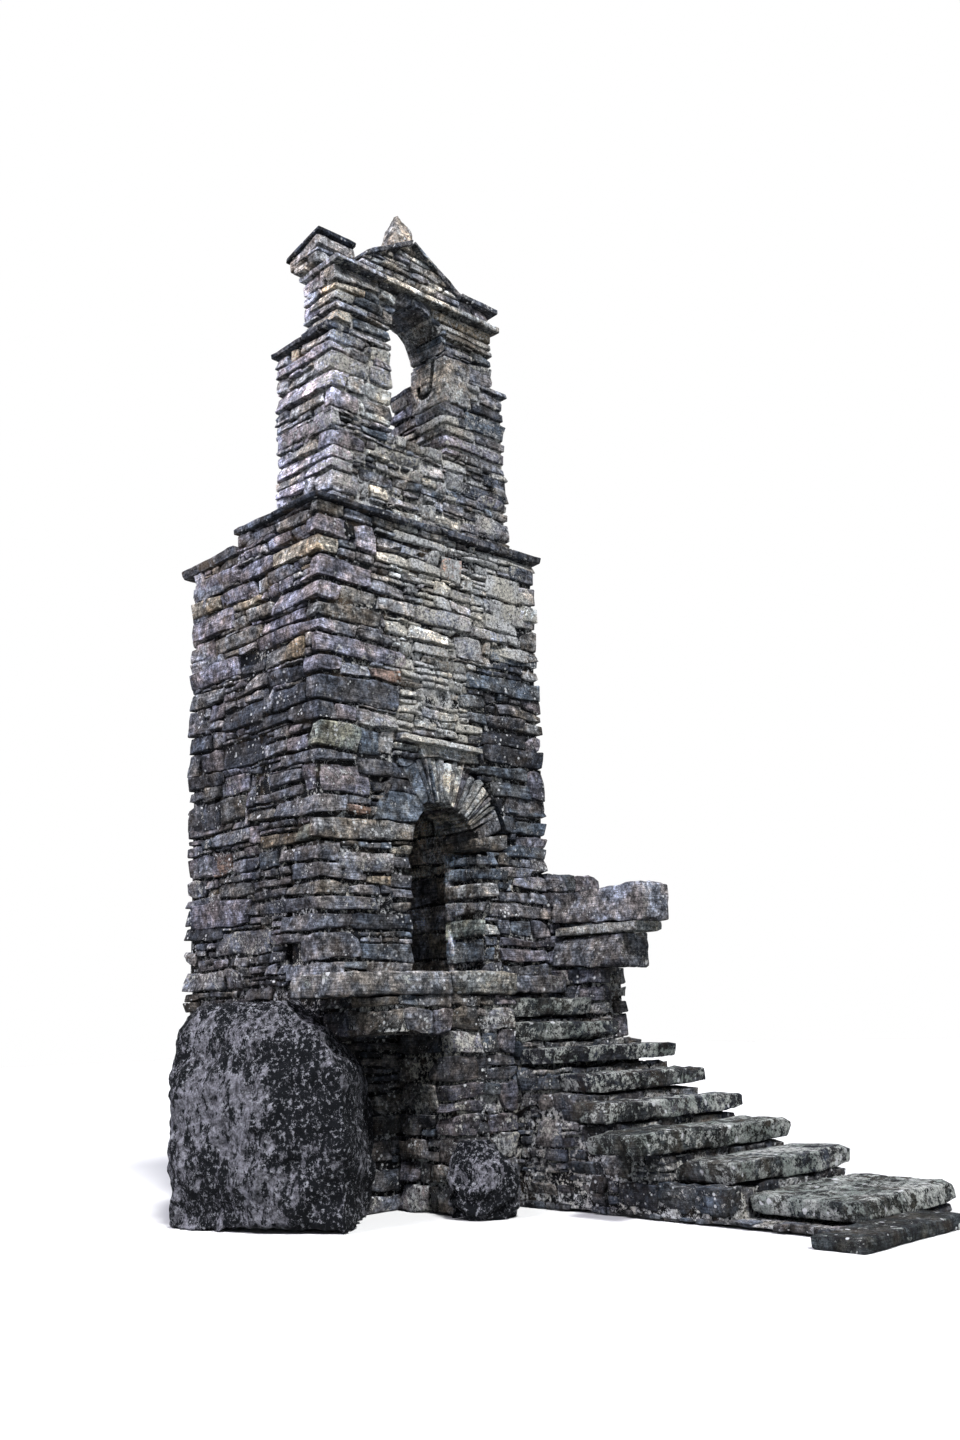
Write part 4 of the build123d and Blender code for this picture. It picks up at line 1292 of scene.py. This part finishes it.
BELL_LEFT_STONES = (
    (-0.56, -0.06, 6.86, 6.97, MAUVE), (-0.55, -0.06, 6.98, 7.07, MAUVE),
    (-0.76, -0.32, 7.21, 7.35, BROWN), (-0.30, -0.06, 7.21, 7.37, MAUVE),
    (-0.45, -0.06, 7.61, 7.68, GREY), (-0.87, -0.32, 7.69, 7.82, BROWN), (-0.30, -0.06, 7.70, 7.83, DARK),
    (-0.70, -0.28, 8.04, 8.15, BROWN), (-0.26, -0.06, 8.04, 8.20, MAUVE),
    (-0.75, -0.52, 8.35, 8.47, BROWN), (-0.50, -0.30, 8.35, 8.47, OCHRE),
)


def bell_style(side, level):
    return BELL_FRONT if side == "front" else BELL_SIDE


def head_style(side, level):
    """Style of the arched head, whose front and back keep clear of the opening."""
    low, high = span("bell_arch")
    far = {"front": high[1] - 0.02, "back": low[1] + 0.4}
    return {**BELL_FRONT, **BELL_HEAD, "through": far[side]} if side in far else BELL_SIDE


def box_of(low, high):
    return (low[0], high[0], low[1], high[1])


def only(group):
    """Gives the one group for every side and level."""
    return lambda side, level: group


def lay_block(group, low, high, course, style_at, seed, depth=BELL_DEPTH, quoin=(0.3, 0.55)):
    """Fills a small mass with courses between the two thicknesses that course gives."""
    levels = courses(group.rng, low[UP], high[UP], *course)
    lay_mass(only(group), box_of(low, high), levels, depth, style_at, quoin=quoin, seed=seed)


def lay_stage(name, seed, corner=(), lift=(0, 0), style_at=bell_style, trim=None, quoin=(0.3, 0.55)):
    """One mass of the bell stage, with the stones that stand out set first.

    lift is how far its foot and its top are raised, trim a style that set stones keep to.
    """
    group = Stones(name + "_stones", seed)
    low, high = span(name)
    low[UP] += lift[0]
    high[UP] += lift[1]
    box = box_of(low, high)
    corner = [row for row in corner if low[UP] < (row[0] + row[1]) / 2 < high[UP]]
    between = low[UP] + LEAST_COURSE, high[UP] - LEAST_COURSE
    levels = [low[UP], *[row[0] for row in corner if between[0] < row[0] < between[1]]]
    if high[UP] - levels[-1] > LEAST_REST:
        levels = levels[:-1] + courses(group.rng, levels[-1], high[UP], *BELL_COURSE)
    else:
        levels.append(high[UP])
    laid = corner_parts(box, corner)
    set_corner(only(group), box, levels, corner)
    right_of_opening = low[0] == OPEN_RIGHT
    for side, rows in (("front", BELL_FRONT_STONES), ("left", BELL_LEFT_STONES)):
        if side == "left" and right_of_opening:
            continue
        laid[side] += [row[:4] for row in rows]
        axis = SIDES[side][0]
        for row in rows:
            along, level = (row[0] + row[1]) / 2, (row[2] + row[3]) / 2
            if low[axis] < along < high[axis] and low[UP] < level < high[UP]:
                set_stone(group, side, box, levels, row, BELL_DEPTH, trim or {})
    if right_of_opening:
        foot, head = POCKET[0][UP], POCKET[1][UP]
        laid["front"].append((OPEN_RIGHT, OPEN_RIGHT + POCKET_REACH, foot, head))
        laid["left"].append((POCKET[0][1], POCKET[1][1], foot, head))
    lay_mass(only(group), box, levels, BELL_DEPTH, style_at, None, quoin, seed + 1, laid)
    build_rubble(group, name)


lay_stage("bell_base", 40, BELL_CORNER)
lay_stage("bell_pier_left", 50, BELL_CORNER, (0, BAND_LIFT))
lay_stage("bell_pier_right", 52, JAMB_CORNER, (0, BAND_LIFT))
lay_stage("upper_pier_left", 54, UPPER_CORNER, (BAND_LIFT, 0))
lay_stage("upper_pier_right", 56, (), (BAND_LIFT, 0))
lay_stage("bell_arch", 61, UPPER_CORNER, (0, 0), head_style, BELL_HEAD, (0.25, 0.4))

band = Stones("band_stones", 60)
low, high = span("band_slabs") + np.array([0, 0, BAND_LIFT])
PIER_EDGE = -1.0
# The band's left end is dark slate, painted darker still for the shade under its overhang
for left, right, front, palette in (
    (low[0], PIER_EDGE, low[1], SHADED_DARK_PALETTE),
    (PIER_EDGE, OPEN_LEFT, low[1], (GREY, CREAM)),
    (OPEN_RIGHT, POCKET[1][0], POCKET[1][1], (GREY, DARK)),
    (POCKET[1][0], high[0], low[1], (GREY, DARK)),
):
    corners = [left, front, low[UP]], [right, high[1], high[UP]]
    tile_slabs(band, *corners, (1, 2), ragged=0.008, palette=palette)
band.build(slate, "slate_slab", "band_slabs")

# Gable
gable = Stones("gable_stones", 70)
low, high = span("gable")
APEX = high[UP]
EAVES = span("rake_slab_left")[0][UP]
SLOPE = (APEX - EAVES) / (high[0] - low[0]) * 2
GABLE_MIDDLE = (low[0] + high[0]) / 2
GABLE_THROUGH = (low[1] + high[1]) / 2
GABLE_BEDS = (EAVES, EAVES + 0.11, EAVES + 0.22, EAVES + 0.31, APEX)
GABLE_COURSE, GABLE_DEPTH = (0.08, 0.12), 0.2


def rake(x):
    """Level of the gable's slopes there."""
    return APEX - np.abs(x - GABLE_MIDDLE) * SLOPE


def under_rakes(points):
    points = points.copy()
    points[:, UP] = np.minimum(points[:, UP], rake(points[:, 0]))
    return points


def inside_gable(low, high):
    """How much of a stone's face lies under the slopes, never quite all of it."""
    x, z = face_samples(low, high)
    return (z < rake(x)).mean() * 0.999


def gable_style(side, level):
    if side in ("left", "right"):
        return {**BELL_SIDE, "mend": under_rakes}
    looks = {"palette": (GREY, BROWN, CREAM), "quoins": WALL_PALETTE}
    shape = {"keep": inside_gable, "mend": under_rakes, "through": GABLE_THROUGH}
    return {**BELL_FRONT, **looks, **shape}


lay_block(gable, low, [*high[:2], EAVES], GABLE_COURSE, gable_style, 71, quoin=(0.25, 0.4))
for bottom, top in pairwise(GABLE_BEDS):
    half = (APEX - bottom) / SLOPE
    for side in ("front", "back"):
        _, plane, outward = SIDES[side]
        wall = (0, box_of(low, high)[plane], outward)
        part = (GABLE_MIDDLE - half, GABLE_MIDDLE + half, bottom, top)
        fill(gable, wall, part, part[2:], GABLE_DEPTH, gable_style(side, 0))
build_rubble(gable, "gable")

# Shoulders: the left slab slopes down towards the back, over a broad stone
SHOULDER_FALL = 0.243
SHOULDER_TONE = (0.34, 0.31, 0.29)
SHOULDER_SLAB, SHOULDER_STONE = 0.055, 0.05
SHOULDER_COURSE = (0.08, 0.14)
LEFT_SLAB_LOW, LEFT_SLAB_HIGH = span("shoulder_slab_left")


def shoulder_lean(points):
    """Raises points the more, the further they lie towards the front."""
    points = points.copy()
    points[:, UP] += (LEFT_SLAB_HIGH[1] - points[:, 1]) * SHOULDER_FALL
    return points


for number, name in enumerate(("shoulder_block_left", "shoulder_block_right")):
    block = Stones(name + "_stones", 72 + number)
    low, high = span(name)
    if name == "shoulder_block_left":
        fall = SHOULDER_FALL * (LEFT_SLAB_HIGH[1] - LEFT_SLAB_LOW[1])
        lower = LEFT_SLAB_LOW + [0.03, 0.03, -0.11]
        upper = LEFT_SLAB_HIGH - [0, 0.03, fall + SHOULDER_STONE]
        tone = [*SHOULDER_TONE, 0.5]
        stone(block, lower, upper, tone, shoulder_lean, 0.5, (0.07, 0.07, 0.05), edge=0.02, chips=8)
        low, high = low - [0.075, 0.07, 0], high - [0, 0, 0.09]
    lay_block(block, low, high, SHOULDER_COURSE, bell_style, 74 + number, quoin=(0.2, 0.4))
    build_rubble(block, name)

for number, name in enumerate(("shoulder_slab_left", "shoulder_slab_right")):
    block = Stones(name + "_stone", 76 + number)
    low, high = span(name)
    warp = None
    if name == "shoulder_slab_left":
        warp = shoulder_lean
        high[UP] -= (high[1] - low[1]) * SHOULDER_FALL
        low[UP] = high[UP] - SHOULDER_SLAB
    tone = pick_tone(block.rng, SHADED_DARK_PALETTE)
    stone(block, low, high, tone, warp, rough=0.5, step=(0.08, 0.08, 0.03), chips=8)
    block.build(slate, "slate_slab", name)


def on_rakes(points):
    """Lays a level plate on the slopes of the gable."""
    points = points.copy()
    points[:, UP] += rake(points[:, 0])
    return points


for number, name in enumerate(("rake_slab_left", "rake_slab_right")):
    block = Stones(name + "_stones", 80 + number)
    low, high = span(name)
    thickness = high[UP] - APEX
    tile_slabs(block, [low[0], low[1], 0.0], [high[0], high[1], thickness], (2, 1), on_rakes)
    block.build(slate, "slate_slab", name)

# Treads and landing: how many treads are of two slabs, and how far they are worn back and down
TWO_SLABS, TREAD_JOINT = 0.7, 0.004
WORN_BACK, WORN_DOWN = 0.03, 0.02
treads = Stones("tread_stones", 90)
for low, high, _ in solids_of("stair_treads"):
    cuts = [low[0], high[0]]
    if treads.rng.uniform() < TWO_SLABS:
        cuts.insert(1, low[0] + (high[0] - low[0]) * treads.rng.uniform(0.35, 0.65))
    for left, right in pairwise(cuts):
        lower = [left + TREAD_JOINT, low[1] + treads.rng.uniform(0, WORN_BACK), low[UP]]
        upper = [right - TREAD_JOINT, high[1], high[UP] - treads.rng.uniform(0, WORN_DOWN)]
        tone = np.append(pick_tone(treads.rng, STEP_PALETTE)[:3], treads.rng.uniform(0.5, 1.0))
        stone(treads, lower, upper, tone, None, 0.8, (0.09, 0.09, 0.05), edge=0.02, chips=9)
treads.build(treads_look, "step_slab", "stair_treads")

LANDING = ("bottom_step", "landing_slab_left", "landing_slab_middle", "landing_slab_right")
for number, name in enumerate(LANDING):
    slab = Stones(name + "_stones", 91 + number)
    tone = pick_tone(slab.rng, STEP_PALETTE if name == "bottom_step" else (GREY, CREAM))
    stone(slab, *span(name), tone, None, 0.9, (0.08, 0.08, 0.05), edge=0.02, chips=10)
    slab.build(treads_look, "step_slab", name)

# Blocks on the ruined wing: the upper one lies on a thin pale slab
BEARER = 0.11
for number, name in enumerate(("wing_block_middle", "wing_block_top")):
    block = Stones(name + "_stones", 96 + number)
    low, high = span(name)
    if name == "wing_block_top":
        upper = [*(high[:2] - 0.01), low[UP] + BEARER]
        lower = low + [0.02, 0.1, -0.01]
        stone(block, lower, upper, [*CREAM, 1.0], None, 0.8, (0.07, 0.07, 0.04), edge=0.015, chips=9)
        low[UP] += BEARER
    tone = pick_tone(block.rng, (GREY, BLUE, BROWN))
    stone(block, low - [0, 0, 0.02], high, tone, None, 1.0, (0.07, 0.07, 0.06), edge=0.03, chips=12)
    block.build(masonry, "dressed_stone", name)

# Rubble under the landing and the stair, and the ruined walls beside them
LOW_COURSE, LOW_DEPTH = (0.14, 0.28), 0.2
LOW = {**LEFT, "split": 0.4, "palette": (GREY, DARK, BROWN, BLUE)}

for number, name in enumerate(("terrace", "landing_bearer", "wing_wall", "side_stub")):
    mass = Stones(name + "_stones", 100 + number)
    lay_block(mass, *span(name), LOW_COURSE, lambda side, level: LOW, 104 + number, LOW_DEPTH)
    build_rubble(mass, name)


def lay_stair_core(setback=0.04):
    """Fills the sides and the front of the core, one course under each tread."""
    core = Stones("stair_core_stones", 110)
    low, high = span("stair_core")
    corners = [lowest for lowest, _, _ in solids_of("stair_treads")]
    corners.append(np.array([0, span("landing_slab_right")[0][1], high[UP]]))
    wing_front = span("wing_wall")[0][1]
    bottom = 0.0
    for corner in corners:
        front, top = corner[1] + setback, corner[UP]
        course = (bottom, top)
        for axis, face, outward, start, end in (
            (1, low[0], -1, front, high[1]),
            (1, high[0], 1, front, wing_front),
            (0, front, -1, low[0], high[0]),
        ):
            if top - bottom > 0.03 and end - start > 0.05:
                fill(core, (axis, face, outward), (start, end, *course), course, LOW_DEPTH, LOW)
        bottom = top
    build_rubble(core, "stair_core", inset=0.03)


lay_stair_core()

# Natural rock, finial and the carved stone
FINIAL_TONE = (0.25, 0.23, 0.21)
GROOVE_TONE = (0.36, 0.335, 0.315)
ROCK_READINESS = 0.35


def groove_painted_shade(points):
    """Paints shade into the inside of the hooked groove."""
    low, high = POCKET
    deep = (points[:, 0] > low[0] + 0.014) & (points[:, 0] < low[0] + 0.06)
    inside = np.all((points[:, 1:] > low[1:] + 0.03) & (points[:, 1:] < high[1:] - 0.02), axis=1)
    return np.where(deep & inside, 0.12, 1.0)


def remeshed(node, voxel):
    """Points, faces and point normals of a node's shape, remeshed in even cells."""
    source = bpy.data.objects.new("rock_source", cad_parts[node].data.copy())
    bpy.context.scene.collection.objects.link(source)
    remesh = source.modifiers.new("Remesh", "REMESH")
    remesh.mode = "VOXEL"
    remesh.voxel_size = voxel
    remesh.adaptivity = 0.0
    shape = bpy.data.meshes.new_from_object(source.evaluated_get(bpy.context.evaluated_depsgraph_get()))
    bpy.data.objects.remove(source)
    values = []
    for name in ("co", "normal"):
        flat = np.empty(len(shape.vertices) * 3)
        shape.vertices.foreach_get(name, flat)
        values.append(flat.reshape(-1, 3))
    return values[0], [tuple(face.vertices) for face in shape.polygons], values[1]


def rock_piece(name, node, seed, voxel, lumps, tone, look, slot, shade=None):
    """A node's shape as weathered natural stone, with lumps and cracks of several sizes."""
    group = Stones(name, seed)
    points, faces, normals = remeshed(node, voxel)
    low, high = points.min(0), points.max(0)
    height = np.zeros(len(points))
    for size, amount in lumps:
        height += waves(group.rng, points, size, amount)[:, 0]
        height -= np.abs(waves(group.rng, points, size * 0.8, amount))[:, 1]
    points = np.clip(points + normals * height[:, None], low, high)
    tones = np.tile([*tone, ROCK_READINESS], (len(points), 1))
    # shade, where given, darkens points as painted shade
    if shade is not None:
        tones[:, :3] *= shade(points)[:, None]
    group.add(points, faces, tones)
    group.build(look, slot, node)


natural, dressed = (rock_look, "natural_rock"), (masonry, "dressed_stone")
boulder_lumps = ((0.8, 0.05), (0.33, 0.022), (0.13, 0.007))
rock_piece("boulder_rock", "boulder", 120, 0.035, boulder_lumps, ROCK, *natural)
rock_piece("foot_rock", "foot_boulder", 121, 0.025, ((0.4, 0.05), (0.15, 0.02)), ROCK, *natural)
finial_lumps, groove_lumps = ((0.25, 0.02), (0.08, 0.008)), ((0.3, 0.006), (0.08, 0.004))
rock_piece("finial_stone", "finial", 122, 0.02, finial_lumps, FINIAL_TONE, *dressed)
rock_piece(
    "hook_groove_stone", "groove_stone", 123, 0.011, groove_lumps, GROOVE_TONE, *dressed, groove_painted_shade
)

# Floor of the chamber and of the doorway
floor_stones = Stones("floor_stones", 130)
low, high = span("chamber_floor")
tile_slabs(floor_stones, [SIDE_LEFT, FRONT_INNER, low[UP]], [SIDE_RIGHT, BACK_INNER, high[UP]], (3, 2))
tile_slabs(floor_stones, [DOOR_LEFT, SHAFT_FRONT, low[UP]], [DOOR_RIGHT, FRONT_INNER, high[UP]], (1, 1))
floor_stones.build(slate, "slate_slab", "chamber_floor")

# Camera of the photograph: its place, what its right and its down are, and its lens
CAMERA_PLACE = (-8.601, -10.559, 1.596)
CAMERA_RIGHT = Vector((0.722, -0.691, -0.030))
CAMERA_DOWN = Vector((0.134, 0.183, -0.974))
LENS, SENSOR, FAR = 32.875, 36, 200

camera_data = bpy.data.cameras.new("camera")
camera_data.lens = LENS
camera_data.sensor_width = SENSOR
camera_data.clip_end = FAR
camera = bpy.data.objects.new("camera", camera_data)
ahead = CAMERA_RIGHT.cross(CAMERA_DOWN).normalized()
up = CAMERA_RIGHT.cross(ahead).normalized()
turned = Matrix((ahead.cross(up).normalized(), up, -ahead)).transposed().to_4x4()
turned.translation = CAMERA_PLACE
camera.matrix_world = turned
bpy.context.scene.collection.objects.link(camera)
bpy.context.scene.camera = camera

# Light: two soft suns for the overcast sky, and what little light reaches the chamber
SUNS = (
    ("sky_front", 5.4, 12, (36, 0, -22), (1, 1, 1)),
    ("sky_left", 3.0, 26, (46, 0, -100), (0.92, 0.89, 1.0)),
)
CHAMBER_ENERGY, CHAMBER_SOFTNESS = 2.2, 0.3
CHAMBER_PLACE = (DOOR_CENTRE, (FRONT_INNER + BACK_INNER) / 2 - 0.3, FLOOR + 0.6)


def add_light(name, kind, energy):
    """Puts a lamp in the scene, and gives it and its data."""
    data = bpy.data.lights.new(name, kind)
    data.energy = energy
    lamp = bpy.data.objects.new(name, data)
    bpy.context.scene.collection.objects.link(lamp)
    return lamp, data


for name, energy, angle, turns, colour in SUNS:
    lamp, data = add_light(name, "SUN", energy)
    data.color = colour
    data.angle = math.radians(angle)
    lamp.rotation_euler = [math.radians(turn) for turn in turns]
lamp, data = add_light("chamber_light", "POINT", CHAMBER_ENERGY)
data.shadow_soft_size = CHAMBER_SOFTNESS
lamp.location = CHAMBER_PLACE

# World and floor: one colour for the camera, another for the light they give the model
SKY_LIGHT, SKY_STRENGTH = (0.80, 0.88, 1.0, 1.0), 0.36
WHITE = (1, 1, 1, 1)
FLOOR_LIGHT, FLOOR_SEEN = (0.16, 0.17, 0.16), (0.62, 0.62, 0.62)
FLOOR_ROUGHNESS = 0.9
FLOOR_HALF, FLOOR_DROP = 60.0, 0.001

bpy.context.scene.world = bpy.data.worlds.new("studio")
look = Shader(bpy.context.scene.world)
sky = look.node("ShaderNodeBackground", SKY_LIGHT, SKY_STRENGTH)
white = look.node("ShaderNodeBackground", WHITE, 1.0)
blend = look.node("ShaderNodeMixShader", look.camera_sees(), sky.outputs[0], white.outputs[0])
look.node("ShaderNodeOutputWorld", blend.outputs[0])

floor_look = bpy.data.materials.new("floor_look")
look = Shader(floor_look)
look.surface(look.mix(look.camera_sees(), FLOOR_LIGHT, FLOOR_SEEN), FLOOR_ROUGHNESS)

floor_mesh = bpy.data.meshes.new("floor")
floor_corners = [(x * FLOOR_HALF, y * FLOOR_HALF, 0) for x, y in ((-1, -1), (1, -1), (1, 1), (-1, 1))]
floor_mesh.from_pydata(floor_corners, [], [(0, 1, 2, 3)])
floor_mesh.materials.append(floor_look)
floor_object = bpy.data.objects.new("floor", floor_mesh)
floor_object.location.z = -FLOOR_DROP
bpy.context.scene.collection.objects.link(floor_object)

bpy.context.scene.view_settings.view_transform = "Standard"
